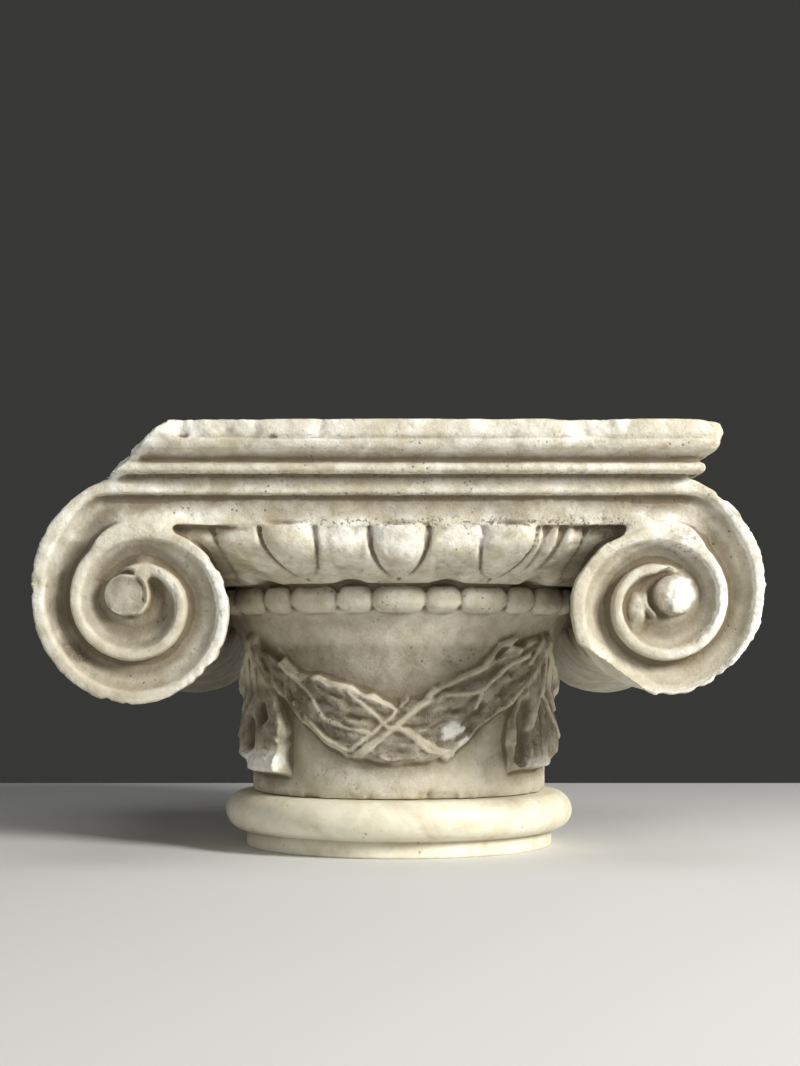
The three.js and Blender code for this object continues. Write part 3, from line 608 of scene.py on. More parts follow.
def channel_band():
    """Block between the volutes: its front and back follow the same depths as the volute faces."""
    across = np.linspace(-SPREAD, SPREAD, 420)
    rings = []
    for z in np.arange(CHANNEL_BOTTOM, ABACUS_BOTTOM + 1.7, 0.5):
        # The fillet under the abacus is a little rounded, and the lip over the eggs is worn
        depth = face_depth(across, z, 1) + 0.3 + 1.1 * smooth((z - ABACUS_BOTTOM + 1.1) / 2.4) ** 2
        worn = 1 + noise(places(across, 0, z), 5, 55)
        depth = depth + 0.4 * smooth((CHANNEL_BOTTOM + 1.4 - z) / 1.5) * worn
        back = places(across[::-1], FACE - depth[::-1], z)
        rings.append(np.concatenate([places(across, depth - FACE, z), back]))
    return closed_shell(np.array(rings))


# Corner break of the abacus: a sloping plane through three places, and the bruised stretches of its edge
BREAK_TOP = np.array([44.3 - ABACUS_REACH, -ABACUS_REACH, ABACUS_TOP])
BREAK_FOOT = np.array([17.0 - ABACUS_REACH, -ABACUS_REACH, ABACUS_BOTTOM])
BREAK_REAR = np.array([-ROLL_REACH, 58.0 - ABACUS_REACH, ABACUS_BOTTOM + 4])
BREAK_NORMAL = -np.cross(BREAK_FOOT - BREAK_TOP, BREAK_REAR - BREAK_TOP)
BREAK_NORMAL = BREAK_NORMAL / np.linalg.norm(BREAK_NORMAL)
BRUISES = [(-106, -61, 3.4, 1.0), (-41, -27, 2.0, 0.7), (68, 101, 2.8, 0.9)]


def abacus_profile():
    """Reach and height from the bottom up: bed, roll, hollow, ovolo, a narrow quirk and the fascia."""
    roll_depth, roll_foot, roll_top, hollow_top = 2.4, 179.6, 184.6, 189.4
    ovolo_top, fascia_foot = 194.4, 196.0
    rows = [(ROLL_REACH - 7.0, ABACUS_BOTTOM - 1.0), (ROLL_REACH - 6.4, ABACUS_BOTTOM + 2.2)]
    for t in np.linspace(0, 1, 13):
        rows.append((ROLL_REACH - roll_depth * (1 - dome(2 * t - 1)), mix(roll_foot, roll_top, t)))
    for t in np.linspace(0.06, 1, 11):
        hollow = mix(ROLL_REACH - roll_depth, ROLL_REACH + 3.0, t ** 1.6)
        rows.append((hollow, mix(roll_top, hollow_top, t)))
    for t in np.linspace(0.06, 1, 11):
        ovolo = math.sqrt(1 - (1 - t) ** 2)
        rows.append((mix(ROLL_REACH + 3.0, ABACUS_REACH - 1.3, ovolo), mix(hollow_top, ovolo_top, t)))
    rows += [(ABACUS_REACH - 1.7, 194.8), (ABACUS_REACH - 1.6, 195.2), (ABACUS_REACH - 0.3, 195.6)]
    rows += [(ABACUS_REACH - 0.1, z) for z in np.arange(fascia_foot, ABACUS_TOP - 0.4, 0.5)]
    rows += [(ABACUS_REACH - 0.5, 202.7), (ABACUS_REACH - 1.3, ABACUS_TOP)]
    return np.array(rows)


def abacus():
    """Square slab: at each height the least of the moulding's reach, the bruises and the corner break."""
    per_side = 300
    edge = np.linspace(-1, 1, per_side, endpoint=False)
    one = np.ones(per_side)
    bx = np.concatenate([edge, one, -edge, -one])
    by = np.concatenate([-one, edge, one, -edge])
    rows = []
    for reach, z in abacus_profile():
        x, y = bx * reach, by * reach
        spot = places(x, y, z)
        upper = smooth((z - 194.0) / 1.4)
        # Bruised stretches of the front edge and small nicks all round
        loss = np.zeros_like(x)
        for start, end, depth, _ in BRUISES:
            ragged = 5 * noise(spot, 6, 60)
            inside = smooth((x - start + ragged) / 9 + 0.4) * smooth((end - x + ragged) / 9 + 0.4)
            inside = inside * (by < -0.99)
            loss = np.maximum(loss, inside * upper * (depth * 0.5 + 1.5 * rough(spot, 7, 61, 4)))
        nick = smooth(noise(spot, 7, 62) * 3 - 1.5) * 1.1 * smooth(np.abs(z - 199) / 3 - 0.4) * (z > 194)
        loss = np.maximum(loss, nick)
        # Worn corners of the plan
        corner = clamp((np.minimum(np.abs(bx), np.abs(by)) - 0.95) / 0.05) ** 2
        loss = loss + corner * mix(0.6, 2.4, upper) * (1 + 0.4 * noise(spot, 5, 63))
        if z > 185:
            right = clamp((np.minimum(bx, -by) - 0.87) / 0.13) ** 2 * (1.0 + 0.25 * noise(spot, 6, 64))
            loss = loss + right * (2.0 + 5.0 * smooth((z - 196.5) / 6.5) ** 1.5)
        scale = 1 - np.maximum(loss, -0.1) / reach
        x, y = x * scale, y * scale
        # The break: what lies beyond its plane is drawn back towards the axis onto a rough face
        beyond = BREAK_NORMAL[0] * x + BREAK_NORMAL[1] * y
        level = BREAK_NORMAL @ BREAK_TOP - BREAK_NORMAL[2] * z
        level = level + 1.3 * rough(spot, 9, 65, 4) - 0.4 + 1.2 * smooth(noise(spot, 16, 66) * 2)
        factor = np.where(beyond > level, level / np.maximum(beyond, 1e-6), 1.0)
        if z > ABACUS_BOTTOM + 0.4:
            x, y = x * factor, y * factor
        rows.append(places(x, y, z))
    return closed_shell(np.array(rows))


def gathered(points, size):
    """Mean place of the surface round each point: points summed in cells, cells blurred over 3×3×3."""
    low = points.min(0) - 3 * size
    place = (points - low) / size - 0.5
    cell = np.floor(place).astype(int)
    shape = cell.max(0) + 5
    key = np.ravel_multi_index((np.rint(place)).astype(int).T, shape)
    grids = []
    for weight in (np.ones(len(points)), *points.T):
        grid = np.bincount(key, weight, minlength=int(np.prod(shape))).reshape(shape)
        for axis in range(3):
            grid = 0.25 * np.roll(grid, 1, axis) + 0.5 * grid + 0.25 * np.roll(grid, -1, axis)
        grids.append(grid)
    total = [0.0] * 4
    for i, j, k, weight in corners(place - cell):
        for n, grid in enumerate(grids):
            total[n] = total[n] + weight * grid[cell[:, 0] + i, cell[:, 1] + j, cell[:, 2] + k]
    return np.stack(total[1:], -1) / np.maximum(total[0], 1e-9)[:, None]


def applied(piece, name):
    """The piece's mesh with its modifiers worked in."""
    graph = bpy.context.evaluated_depsgraph_get()
    mesh = bpy.data.meshes.new_from_object(piece.evaluated_get(graph))
    mesh.name = name
    return mesh


def points_of(mesh):
    """Vertex places in millimetres."""
    flat = np.empty(len(mesh.vertices) * 3, np.float32)
    mesh.vertices.foreach_get("co", flat)
    return flat.reshape(-1, 3).astype(float) / MM


def normals_of(mesh):
    """Vertex normals."""
    flat = np.empty(len(mesh.vertices) * 3, np.float32)
    mesh.vertex_normals.foreach_get("vector", flat)
    return flat.reshape(-1, 3).astype(float)


def put(mesh, points):
    """Writes vertex places in millimetres."""
    mesh.vertices.foreach_set("co", (points * MM).astype(np.float32).ravel())
    mesh.update()


def shade_smooth(mesh):
    """Smooth faces, with a sharp edge wherever two of them meet at more than the sharp angle."""
    mesh.polygons.foreach_set("use_smooth", np.ones(len(mesh.polygons), bool))
    mesh.set_sharp_from_angle(angle=SHARP_ANGLE)


def within_solids(points, inset):
    """Points kept inside the solids' box, drawn in by an inset at the sides and half of it at the top."""
    reach = np.array([SPREAD + VOLUTE_RADIUS, ABACUS_REACH]) - inset
    return np.clip(points, [*-reach, NECK_BOTTOM], [*reach, ABACUS_TOP - inset / 2])


def ink(mesh, name, values):
    """Stores one number for each vertex, for the materials to read."""
    layer = mesh.attributes.new(name, "FLOAT", "POINT")
    layer.data.foreach_set("value", np.asarray(values, np.float32))


# Bruises seen on the front, as (x, z, half width, half height, strength, lowest and highest z, least radius)
FRONT_SPOTS = [
    (0, 151, 12, 9, 0.55, 131, 157, 0),
    (32, 153, 14, 6, 0.6, 131, 157.5, 0),
    (-30, 153, 13, 5, 0.45, 131, 157.5, 0),
    (29, 61, 10, 5, 0.75, 0, math.inf, 80.5),
    (-68, 46, 11, 6, 0.95, 0, 51, 79),
    (71, 44.5, 9, 3.5, 0.3, 0, math.inf, 79),
]


def fresh_and_highlight_places(p):
    """Share of clean broken marble at each point: the corner break, bruises, rims and knocks on the front,
    with a painted highlight on the left volute's inner rim.
    """
    x, y, z = p.T
    fresh = np.zeros(len(p))
    frayed = 0.35 * noise(p, 5, 71) + 0.2 * noise(p, 2, 72)

    def mark(share):
        np.maximum(fresh, share, out=fresh)

    def spot(cx, cz, rx, rz, strength):
        d = np.hypot((x - cx) / rx, (z - cz) / rz) + frayed
        return strength * smooth((1 - d) / 0.35 + 0.5) * (y < -20)

    gap = np.abs(p @ BREAK_NORMAL - BREAK_NORMAL @ BREAK_TOP)
    mark(smooth((4.5 - gap) / 2) * (z > 177.5) * (x < -80) * (y < -60) * 0.5)
    ragged = 6 * noise(p, 6, 60)
    upper = smooth((z - 195.5) / 1.5) * (y < -100) * (0.45 + 0.3 * noise(p, 9, 74))
    for start, end, _, strength in BRUISES:
        inside = smooth((x - start + ragged) / 8 + 0.4) * smooth((end - x + ragged) / 8 + 0.4)
        mark(inside * upper * strength)
    # Rims of the left volute, the first partly a painted highlight where light from the right falls, then of
    # the right one with its eye, then the spots
    rho = np.hypot(np.abs(x) - SPREAD, z - VOLUTE_HEIGHT)
    face = (y < -FACE + 2.6) & (rho < 52)
    left = face & (x < 0)
    right = face & (x > 0)
    angle = np.degrees(np.arctan2(z - VOLUTE_HEIGHT, np.abs(x) - SPREAD))
    patch = smooth(noise(p, 6, 73) * 1.4 + 0.55)
    # Partly a painted highlight: the left volute's inner rim, whitened on the side the light falls on
    mark(left * (rho > 33) * hump((np.abs(angle) - 172) / 26) * 0.95)
    mark(left * (rho > 41) * hump((angle + 140) / 26) * 0.8)
    mark(left * (rho > 42) * hump((angle - 4) / 16) * 0.8 * patch)
    mark(left * (rho > 44) * hump((angle + 70) / 40) * 0.45 * patch)
    mark(left * spot(-105, 123, 5, 9, 0.95))
    mark(right * (rho > 37) * hump((angle + 25) / 62) * 0.9)
    mark(right * (rho > 42) * hump((angle - 30) / 45) * 0.75 * patch)
    mark(right * (rho > 20) * (rho < 33) * hump((angle + 15) / 60) * 0.95)
    mark((x > 0) * (y < -122) * spot(129.0, 126, 6.5, 8.5, 0.8))
    for cx, cz, rx, rz, strength, low, high, least in FRONT_SPOTS:
        mark(spot(cx, cz, rx, rz, strength) * (z > low) * (z < high) * (np.hypot(x, y) > least))
    return fresh


def ribbon_places(arc, z, reach):
    """Share of ribbon at each point of the neck: 1 on a ribbon of the front garland or of its ends."""
    share = np.zeros(len(arc))
    close = np.flatnonzero((z > 38) & (z < 110) & (reach < 96) & (np.abs(arc) < 125))
    wander = places(arc[close], z[close], 0)
    wide = 1.35 + 0.45 * noise(wander, 8, 9)
    wx = arc[close] + 0.5 * noise(wander, 6, 18)
    wz = z[close] + 0.5 * noise(wander, 6, 19)
    for path in RIBBONS + DROP_RIBBONS:
        d = line_distance(wx, wz, on_neck(path))
        share[close] = np.maximum(share[close], smooth((wide - d) / 0.8))
    return share


def grime_and_shade_places(p, fine):
    """Grey-brown grime and painted shade: thick in the garland and its ends, painted shade in its holes and
    over the neck above it, dirt and painted shadow in a channel, grime on the eyes.
    """
    x, y, z = p.T
    degrees = np.degrees(np.arctan2(x, -y))
    reach = np.hypot(x, y)
    front = np.abs(degrees) < 90
    facing = np.where(front, degrees, np.where(degrees > 0, 180 - degrees, -180 - degrees))
    upper = np.interp(facing, *np.array(UPPER_EDGE).T)
    lower = np.interp(facing, *np.array(LOWER_EDGE).T)
    soft = 1.2 * noise(p, 5, 85)
    swag = smooth(np.minimum(z - lower, upper - z) / 3 + 0.3 + soft) * (np.abs(facing) < 60)
    drop = smooth((19 - np.abs(np.abs(facing) - END_PLACE)) / 4 + soft)
    drop = drop * smooth((z - 40) / 3) * smooth((88 - z) / 8)
    drop = drop * np.where((facing < 0) & front, smooth((z - 52) / 4) * 0.8, 1.0)
    # Painted shade on the neck just above the garland, where the flare faces down
    painted_shade_above = smooth((z - upper) / 3) * smooth((106 - z) / 5) * (np.abs(facing) < 52) * 0.6
    ridge = smooth((-fine - 0.45) / 0.5)
    carved = np.maximum(swag, drop) * mix(1.0, 0.30, ridge) * mix(0.75, 1.0, smooth(noise(p, 7, 84) + 0.6))
    # Painted shade in the two holes of the left end, then in the slot, the recess and the shaded edge of the
    # right end
    arc = degrees * ARC
    hole = hump(np.hypot((arc + 99) / 1.7, (z - 59) / 1.3) / 5.8) + hump(np.hypot(arc + 80.5, z - 69.3) / 4)
    carved = np.maximum(carved, hole)
    for path, strength, width in ((UPPER_SLOT, 1.0, 3.2), (LEAF_RECESS, 0.9, 4.6), (END_EDGE, 0.9, 4.5)):
        carved = np.maximum(carved, strength * hump(line_distance(arc, z, path) / width))
    carved = clamp(carved) * mix(1.0, 0.12, ribbon_places(arc, z, reach))
    garland = np.maximum(carved, painted_shade_above) * (reach < 96) * (z > 36) * (z < 108)
    # Dirt and painted shadow in the outer channel of the left volute, heaviest on its side away from the
    # light; dirt on both eyes and in the last turn of the right one
    out, up = np.abs(x) - SPREAD, z - VOLUTE_HEIGHT
    rho = np.hypot(out, up)
    angle = np.degrees(np.arctan2(up, out))
    left = (x < 0) & (y < -116)
    channel = smooth((rho - 27) / 4) * smooth((43 - rho) / 3) * smooth((y + 129) / 2.5)
    dirt_and_shade = channel * left * (0.75 * hump((angle + 8) / 45) + 0.95 * hump((angle + 42) / 16) * (rho > 33))
    dirt_and_shade = np.maximum(dirt_and_shade, left * smooth((26 - rho) / 3) * smooth((y + 128.2) / 1.5) * 0.42)
    eye = np.hypot(np.abs(x) - EYE_PLACE[0], z - EYE_PLACE[1])
    disc = (y < -120) * smooth(EYE_RADIUS - 0.3 - eye) * mix(0.35, 0.75, smooth(noise(p, 4, 78) + 0.5))
    last = (x > 0) & (x < 122) & (y < -118) & (y > -129.6)
    last = last * smooth((19 - rho) / 2) * mix(0.25, 0.7, smooth(noise(p, 5, 79) + 0.5))
    patchy_dirt_and_shade = dirt_and_shade * smooth(noise(p, 9, 83) * 1.5 + 0.9)
    return np.maximum(np.maximum(garland, patchy_dirt_and_shade), np.maximum(disc, last))


def speckled_lines(p):
    """Where fine dark specks lie: edges of the channel band, under the abacus, rim of the right volute."""
    x, y, z = p.T
    low = hump((z - 158.2) / 2.6) * smooth((x + 60) / 30) * smooth((112 - x) / 14)
    line = hump((z - 170.6) / 0.9) * (0.35 + 0.65 * hump((x + 12) / 55)) * (np.abs(x) < 112)
    under = hump((z - 179) / 1.2) * 0.8
    rim = hump(np.hypot(x - 96, z - 153) / 9) * 0.7 + hump(np.hypot(x - 131, z - 147) / 7) * 0.9
    return clamp(np.maximum(np.maximum(low, line), np.maximum(under, rim)) * (y < -108))


def weathered(piece):
    """The joined stone as found: fused, worn at its edges, pitted, with soil, painted shade and clean breaks
    marked.
    """
    fuse = piece.modifiers.new("fuse", "REMESH")
    fuse.mode = "VOXEL"
    fuse.voxel_size = 0.00085
    dense = applied(piece, "capital_stone")
    piece.modifiers.clear()
    piece.data = dense
    p = points_of(dense)
    normal = normals_of(dense)
    near = gathered(p, 2.2)
    fine = np.einsum("ij,ij->i", near - p, normal)
    broad = np.einsum("ij,ij->i", gathered(p, 6.5) - p, normal)
    # Sharp edges lose up to a millimetre, unevenly; every face gets shallow pits and waves
    wear = smooth(-fine / 0.9) * (0.15 + 0.85 * smooth(noise(p, 7, 81) * 1.4 + 0.1)) * (p[:, 2] > 30)
    crisp = (p[:, 1] < -118) & (p[:, 2] < 172)
    p = p + (near - p) * (wear * np.where(crisp, 0.22, 0.45))[:, None]
    fresh = fresh_and_highlight_places(p)
    wave = 0.16 * rough(p, 16, 82, 3) + 0.10 * noise(p, 2.6, 86) - 0.12
    pits = -0.55 * smooth(noise(p, 3.2, 87) * 3.2 - 1.9) * smooth(noise(p, 22, 88) * 1.5 + 0.3)
    crystals = (0.42 * noise(p, 2.4, 89) + 0.30 * noise(p, 1.3, 90) - 0.30) * clamp(fresh * 1.3)
    p = p + normal * (wave + pits + crystals)[:, None]
    # The lower bed stays flat
    bed = 0.8
    rise = p[:, 2] - NECK_BOTTOM
    p[:, 2] = np.where(rise < bed, NECK_BOTTOM + rise * smooth(rise / bed), p[:, 2])
    p = within_solids(p, 0.0)
    put(dense, p)
    ink(dense, "hollow", clamp(0.5 + fine / 2.4))
    ink(dense, "recess", clamp(0.5 + broad / 9.0))
    ink(dense, "fresh", fresh)
    ink(dense, "grime_and_shade", grime_and_shade_places(p, fine))
    ink(dense, "speckled", speckled_lines(p))
    thin = piece.modifiers.new("thin", "DECIMATE")
    triangles = len(dense.loops) - 2 * len(dense.polygons)
    thin.ratio = min(1.0, (196000) / triangles)
    thin.use_collapse_triangulate = True
    kept = applied(piece, "capital_stone")
    piece.modifiers.clear()
    piece.data = kept
    bpy.data.meshes.remove(dense)
    put(kept, within_solids(points_of(kept), 0.1))
    shade_smooth(kept)
    return piece


def collar_piece():
    """Turned collar: a lathe profile of disc and torus, with shallow wear and one knocked place."""
    columns = 480
    degrees = np.arange(columns) * 360.0 / columns
    rows = [(50, 0.0), (78.3, 0.0), (79.1, 0.5), (79.4, 1.4)]
    rows += [(79.4, z) for z in np.linspace(2.2, 7.4, 9)]
    rows += [(79.2, 7.9), (79.3, 8.35)]
    for t in np.linspace(-0.98, 1, 66) * math.pi / 2:
        rows.append((80 + 10.1 * math.cos(t), 18.2 + 9.8 * math.sin(t)))
    rows += [(78, 28.0), (70, 28.0), (40, 28.0)]
    rings = []
    for radius, z in rows:
        spot = round_ring(degrees, radius, z)
        inside = smooth((z - 1.0) / 1.5) * smooth((27.6 - z) / 1.0)
        # A knocked place low on the left of the front
        knock = 1.2 * hump(np.hypot(degrees - 330, (z - 9) * 1.4) / 7)
        loss = 0.28 - 0.22 * rough(spot, 14, 91, 3) + 0.5 * smooth(noise(spot, 5, 92) * 3 - 1.9) + knock
        rings.append(round_ring(degrees, radius - loss * inside, z))
    piece = mesh_of("collar_stone", [closed_shell(np.array(rings))])
    shade_smooth(piece.data)
    return piece


# Shader groups shared by the two stones
def group(name, inputs, outputs):
    """A new shader group with plain named sockets; returns its tree, input node and output node."""
    tree = bpy.data.node_groups.new(name, "ShaderNodeTree")
    for label, kind, value in inputs:
        socket = tree.interface.new_socket(label, in_out="INPUT", socket_type=kind)
        if value is not None:
            socket.default_value = value
    for label, kind in outputs:
        tree.interface.new_socket(label, in_out="OUTPUT", socket_type=kind)
    return tree, tree.nodes.new("NodeGroupInput"), tree.nodes.new("NodeGroupOutput")


def node(tree, kind, values=None, **settings):
    """A node with its settings and the values of its unlinked sockets."""
    made = tree.nodes.new(kind)
    for key, value in settings.items():
        setattr(made, key, value)
    for key, value in (values or {}).items():
        made.inputs[key].default_value = value
    return made


def ramp(tree, source, stops):
    """A colour ramp fed by a value: stops are (place, colour or grey)."""
    made = tree.nodes.new("ShaderNodeValToRGB")
    while len(made.color_ramp.elements) < len(stops):
        made.color_ramp.elements.new(0.5)
    for element, (place, colour) in zip(made.color_ramp.elements, stops):
        element.position = place
        element.color = (*colour, 1) if isinstance(colour, tuple) else (colour, colour, colour, 1)
    tree.links.new(source, made.inputs["Fac"])
    return made.outputs["Color"]


def sums(tree, operation, a, b, clamped=False):
    """One arithmetic step on two values or sockets."""
    made = node(tree, "ShaderNodeMath", operation=operation, use_clamp=clamped)
    for i, value in enumerate((a, b)):
        if isinstance(value, (int, float)):
            made.inputs[i].default_value = value
        else:
            tree.links.new(value, made.inputs[i])
    return made.outputs[0]


def times(tree, a, b, clamped=False):
    """The product of two values or sockets."""
    return sums(tree, "MULTIPLY", a, b, clamped)


def blend(tree, share, a, b, mode="MIX"):
    """A colour blend of a towards b by a share."""
    made = node(tree, "ShaderNodeMix", data_type="RGBA", blend_type=mode, clamp_factor=True)
    for socket, value in ((made.inputs[0], share), (made.inputs[6], a), (made.inputs[7], b)):
        if isinstance(value, (int, float)):
            socket.default_value = value
        elif isinstance(value, tuple):
            socket.default_value = (*value, 1)
        else:
            tree.links.new(value, socket)
    return made.outputs[2]


def cloud(tree, where, scale, detail=4.0, rough_share=0.55, stretch=0.0):
    """Soft noise from 0 to 1 at a scale."""
    values = {"Scale": scale, "Detail": detail, "Roughness": rough_share, "Distortion": stretch}
    made = node(tree, "ShaderNodeTexNoise", values)
    tree.links.new(where, made.inputs["Vector"])
    return made.outputs["Fac"]


def grain_group():
    """Marble grain: sugary crystals, pin holes and soft mottling, as a tint mask and a height."""
    inputs = [("Place", "NodeSocketVector", None), ("Coarseness", "NodeSocketFloat", 1.0)]
    outputs = [("Mottle", "NodeSocketFloat"), ("Specks", "NodeSocketFloat"), ("Height", "NodeSocketFloat")]
    tree, start, end = group("marble_grain", inputs, outputs)
    scaled = node(tree, "ShaderNodeVectorMath", operation="SCALE")
    tree.links.new(start.outputs["Place"], scaled.inputs[0])
    tree.links.new(start.outputs["Coarseness"], scaled.inputs["Scale"])
    where = scaled.outputs[0]
    cells = []
    for scale in (900.0, 330.0):
        made = node(tree, "ShaderNodeTexVoronoi", {"Scale": scale}, feature="F1")
        tree.links.new(where, made.inputs["Vector"])
        cells.append(made.outputs["Distance"])
    crystal, hole = cells
    rare = ramp(tree, cloud(tree, where, 60, 2, 0.5), [(0.56, 0.0), (0.66, 1.0)])
    specks = times(tree, ramp(tree, hole, [(0.10, 1.0), (0.26, 0.0)]), rare)
    height = times(tree, cloud(tree, where, 650, 3, 0.6), 0.6)
    for layer, share in ((crystal, 0.25), (cloud(tree, where, 210, 4, 0.6), 0.9), (specks, -0.9)):
        height = sums(tree, "ADD", height, times(tree, layer, share))
    tree.links.new(cloud(tree, where, 90, 6, 0.62, 0.4), end.inputs["Mottle"])
    tree.links.new(specks, end.inputs["Specks"])
    tree.links.new(height, end.inputs["Height"])
    return tree


def soil_and_shade_group():
    """Soil and painted shade lying in hollows: two depths of hollow, broken up by noise, as a mask from 0 to
    1.
    """
    inputs = [("Place", "NodeSocketVector", None), ("Hollow", "NodeSocketFloat", 0.5),
              ("Recess", "NodeSocketFloat", 0.5), ("Amount", "NodeSocketFloat", 1.0)]
    tree, start, end = group("soil_and_shade_in_hollows", inputs, [("Soil", "NodeSocketFloat")])
    patch = cloud(tree, start.outputs["Place"], 55, 6, 0.65, 0.6)
    crease = sums(tree, "ADD", start.outputs["Hollow"], times(tree, patch, 0.16))
    crease = ramp(tree, crease, [(0.60, 0.0), (0.80, 1.0)])
    deep = sums(tree, "ADD", start.outputs["Recess"], times(tree, patch, 0.22))
    deep = ramp(tree, deep, [(0.58, 0.0), (0.80, 1.0)])
    soil_and_shade = sums(tree, "MAXIMUM", times(tree, crease, 0.9), times(tree, deep, 0.7))
    tree.links.new(times(tree, soil_and_shade, start.outputs["Amount"], True), end.inputs["Soil"])
    return tree


GRAIN = grain_group()
SOIL_AND_SHADE = soil_and_shade_group()


def reading(tree, name):
    """The number that the mesh stores under a name."""
    return node(tree, "ShaderNodeAttribute", attribute_name=name, attribute_type="GEOMETRY").outputs["Fac"]


def placed(tree, shader_group, links, **values):
    """A shared group in a material, with its own values."""
    made = node(tree, "ShaderNodeGroup", node_tree=shader_group)
    for key, value in links.items():
        tree.links.new(value, made.inputs[key])
    for key, value in values.items():
        made.inputs[key].default_value = value
    return made


def bare_material(name, roughness, shine=0.5):
    """A material with one principled shader; returns the material, its tree, the shader and object places."""
    material = bpy.data.materials.new(name)
    material.use_nodes = True
    tree = material.node_tree
    shader = tree.nodes["Principled BSDF"]
    shader.inputs["Roughness"].default_value = roughness
    shader.inputs["Specular IOR Level"].default_value = shine
    where = node(tree, "ShaderNodeTexCoord").outputs["Object"]
    return material, tree, shader, where


def height_of(tree, where):
    """The height part of a place."""
    split = node(tree, "ShaderNodeSeparateXYZ")
    tree.links.new(where, split.inputs[0])
    return split.outputs["Z"]


def stained(tree, skin, mask, share, colour):
    """A skin taken towards a stain's colour by a share of the mask."""
    return blend(tree, times(tree, mask, share), skin, colour)


def finish_shader(tree, shader, colour, roughness, grain, strength, distance):
    """Colour, roughness and a bump from the grain's height, linked into the shader."""
    bump = node(tree, "ShaderNodeBump", {"Strength": strength, "Distance": distance})
    tree.links.new(grain.outputs["Height"], bump.inputs["Height"])
    tree.links.new(bump.outputs["Normal"], shader.inputs["Normal"])
    tree.links.new(colour, shader.inputs["Base Color"])
    tree.links.new(roughness, shader.inputs["Roughness"])


def capital_marble():
    """Old white marble: cream skin, greyer low down, brown soil and painted shade in hollows, white breaks
    and a painted rim highlight.
    """
    material, tree, shader, where = bare_material("capital_marble", 0.6, 0.35)
    grain = placed(tree, GRAIN, {"Place": where}, Coarseness=1.0)
    mottle = grain.outputs["Mottle"]
    links = {"Place": where, "Hollow": reading(tree, "hollow"), "Recess": reading(tree, "recess")}
    soil_and_shade = placed(tree, SOIL_AND_SHADE, links, Amount=1.0).outputs["Soil"]
    beige, cream, pale = (0.50, 0.455, 0.35), (0.70, 0.66, 0.55), (0.85, 0.83, 0.75)
    skin = ramp(tree, mottle, [(0.36, beige), (0.50, cream), (0.63, pale)])
    stain = ramp(tree, cloud(tree, where, 22, 5, 0.6, 0.8), [(0.44, 0.0), (0.62, 1.0)])
    skin = stained(tree, skin, stain, 0.42, (0.53, 0.455, 0.31))
    blotch = ramp(tree, cloud(tree, where, 230, 5, 0.72, 0.6), [(0.54, 0.0), (0.64, 1.0)])
    skin = stained(tree, skin, blotch, 0.42, (0.33, 0.28, 0.19))
    # Greyer and duller colour below about 136 mm, fading out by 160 mm
    drab = sums(tree, "ADD", height_of(tree, where), times(tree, cloud(tree, where, 30, 4), 0.02))
    skin = stained(tree, skin, ramp(tree, drab, [(0.136, 1.0), (0.160, 0.0)]), 0.5, (0.47, 0.42, 0.305))
    grime_and_shade_colour = ramp(tree, mottle, [(0.36, (0.09, 0.072, 0.048)), (0.62, (0.20, 0.168, 0.12))])
    # Grey-brown grime and painted shade from the stored mask
    grime_and_shade = times(tree, reading(tree, "grime_and_shade"), 0.92)
    skin = blend(tree, grime_and_shade, skin, grime_and_shade_colour)
    # Thin pale threads over the grime and painted shade, where the carving's fine edges are rubbed
    thread = ramp(tree, cloud(tree, where, 170, 4, 0.6, 1.8), [(0.475, 0.0), (0.50, 1.0), (0.525, 0.0)])
    skin = stained(tree, skin, times(tree, thread, grime_and_shade), 0.45, (0.60, 0.55, 0.44))
    # Brown soil and painted shade darken the creases and deep recesses
    dirt_and_shade = blend(tree, soil_and_shade, skin, (0.135, 0.10, 0.055))
    dirt_and_shade = stained(tree, dirt_and_shade, grain.outputs["Specks"], 0.7, (0.09, 0.075, 0.055))
    dots = ramp(tree, cloud(tree, where, 520, 3, 0.65), [(0.53, 0.0), (0.60, 1.0)])
    dots = times(tree, dots, reading(tree, "speckled"))
    dirt_and_shade = stained(tree, dirt_and_shade, dots, 0.85, (0.07, 0.058, 0.04))
    # White of the clean breaks, and a painted highlight on the left volute's inner rim
    grey, white = (0.72, 0.70, 0.62), (0.93, 0.92, 0.87)
    broken = ramp(tree, cloud(tree, where, 420, 3, 0.7), [(0.3, grey), (0.6, white)])
    fresh = times(tree, reading(tree, "fresh"), ramp(tree, mottle, [(0.30, 0.55), (0.50, 1.0)]), True)
    colour = blend(tree, fresh, dirt_and_shade, broken)
    dull = ramp(tree, mottle, [(0.3, 0.72), (0.7, 0.50)])
    dull = sums(tree, "ADD", dull, times(tree, soil_and_shade, 0.2), True)
    finish_shader(tree, shader, colour, dull, grain, 0.55, 0.0006)
    return material


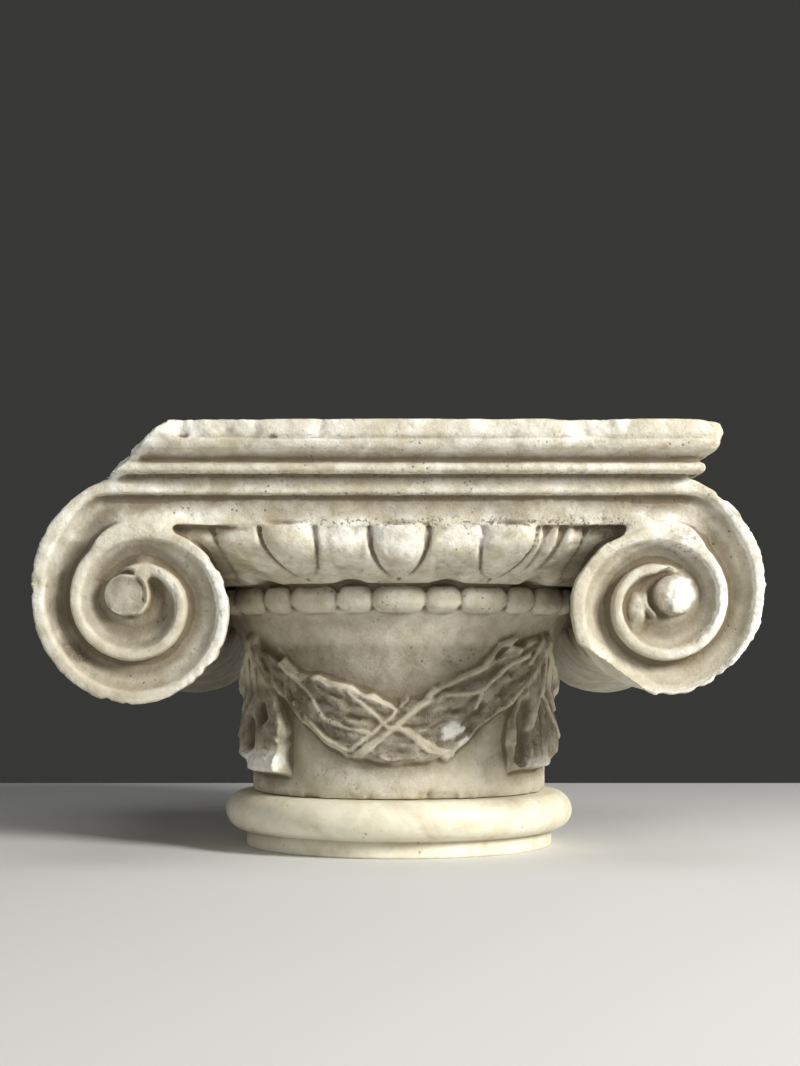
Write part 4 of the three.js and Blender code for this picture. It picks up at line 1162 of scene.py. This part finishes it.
def collar_marble():
    """Smoother cream-yellow marble, with soft cloudy stains and painted shade under the torus."""
    material, tree, shader, where = bare_material("collar_marble", 0.45, 0.45)
    grain = placed(tree, GRAIN, {"Place": where}, Coarseness=0.8)
    mottle = grain.outputs["Mottle"]
    straw, cream, pale = (0.70, 0.64, 0.46), (0.83, 0.785, 0.62), (0.89, 0.86, 0.72)
    skin = ramp(tree, mottle, [(0.28, straw), (0.5, cream), (0.72, pale)])
    # Painted shade: a dark band where the torus's underside meets the disc
    under = ramp(tree, height_of(tree, where), [(0.006, 0.0), (0.0085, 1.0), (0.0115, 0.0)])
    skin = stained(tree, skin, under, 0.55, (0.30, 0.24, 0.15))
    stain = ramp(tree, cloud(tree, where, 34, 5, 0.65, 0.9), [(0.52, 0.0), (0.70, 1.0)])
    skin = stained(tree, skin, stain, 0.5, (0.50, 0.41, 0.25))
    skin = stained(tree, skin, grain.outputs["Specks"], 0.6, (0.13, 0.10, 0.07))
    finish_shader(tree, shader, skin, ramp(tree, mottle, [(0.3, 0.58), (0.7, 0.36)]), grain, 0.3, 0.0005)
    return material


# The capital and the collar
stone = weathered(mesh_of("capital_stone", [round_part(), volute(-1), volute(1), channel_band(), abacus()]))
stone.data.materials.append(capital_marble())
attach(stone, "root")
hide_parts("capital")

collar = collar_piece()
collar.data.materials.append(collar_marble())
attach(collar, "root")
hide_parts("collar")


# Floor, lights and camera
def plain(name, colour, roughness):
    """One even colour, for the floor that isn't part of the object."""
    material, _, shader, _ = bare_material(name, roughness)
    shader.inputs["Base Color"].default_value = (*colour, 1)
    return material


floor_mesh = bpy.data.meshes.new("floor")
WIDE, NEAR, FAR = 1.6, -1.3, 0.447
floor_corners = [(-WIDE, NEAR, 0), (WIDE, NEAR, 0), (WIDE, FAR, 0), (-WIDE, FAR, 0)]
floor_mesh.from_pydata(floor_corners, [], [(0, 1, 2, 3)])
floor = bpy.data.objects.new("floor", floor_mesh)
bpy.context.scene.collection.objects.link(floor)
floor_mesh.materials.append(plain("pale_floor", (0.72, 0.72, 0.71), 0.8))


def area_light(name, place, target, size, power, colour):
    """A square soft light at a place, facing a target."""
    data = bpy.data.lights.new(name, "AREA")
    data.shape = "SQUARE"
    data.size = size
    data.energy = power
    data.color = colour
    lamp = bpy.data.objects.new(name, data)
    bpy.context.scene.collection.objects.link(lamp)
    away = np.array(place) - np.array(target)
    lamp.location = place
    flat = math.hypot(away[0], away[1])
    lamp.rotation_euler = (math.atan2(flat, away[2]), 0, math.atan2(away[0], -away[1]))


area_light("key_light", (1.25, -1.0, 0.80), (0, -0.05, 0.12), 0.45, 38, (1.0, 0.985, 0.95))
area_light("fill_light", (-1.0, -1.5, 0.55), (0, 0, 0.1), 1.2, 6.0, (0.97, 0.98, 1.0))
area_light("top_light", (0.1, -0.5, 1.4), (0, 0, 0.15), 0.9, 4, (1.0, 0.99, 0.97))

world = bpy.data.worlds.new("studio")
world.use_nodes = True
world.node_tree.nodes["Background"].inputs["Color"].default_value = (0.04, 0.04, 0.039, 1)
world.node_tree.nodes["Background"].inputs["Strength"].default_value = 1.0
bpy.context.scene.world = world

# The photo's frame in pixels: its height, the lens's focal length, and the place of the level line of sight
PHOTO_HEIGHT = 1066
FOCAL_PIXELS = 1840
LEVEL_ROW = 655
LEVEL_SHIFT = 1.0
camera_data = bpy.data.cameras.new("camera")
camera_data.sensor_width = 36
camera_data.lens = FOCAL_PIXELS / PHOTO_HEIGHT * camera_data.sensor_width
camera_data.shift_x = LEVEL_SHIFT / PHOTO_HEIGHT
camera_data.shift_y = (LEVEL_ROW - PHOTO_HEIGHT / 2) / PHOTO_HEIGHT
camera_data.clip_start = 0.05
camera = bpy.data.objects.new("camera", camera_data)
bpy.context.scene.collection.objects.link(camera)
camera.location = (0, -0.961, 0.098)
camera.rotation_euler = (math.pi / 2, 0, 0)
bpy.context.scene.camera = camera
bpy.context.scene.view_settings.view_transform = "Standard"
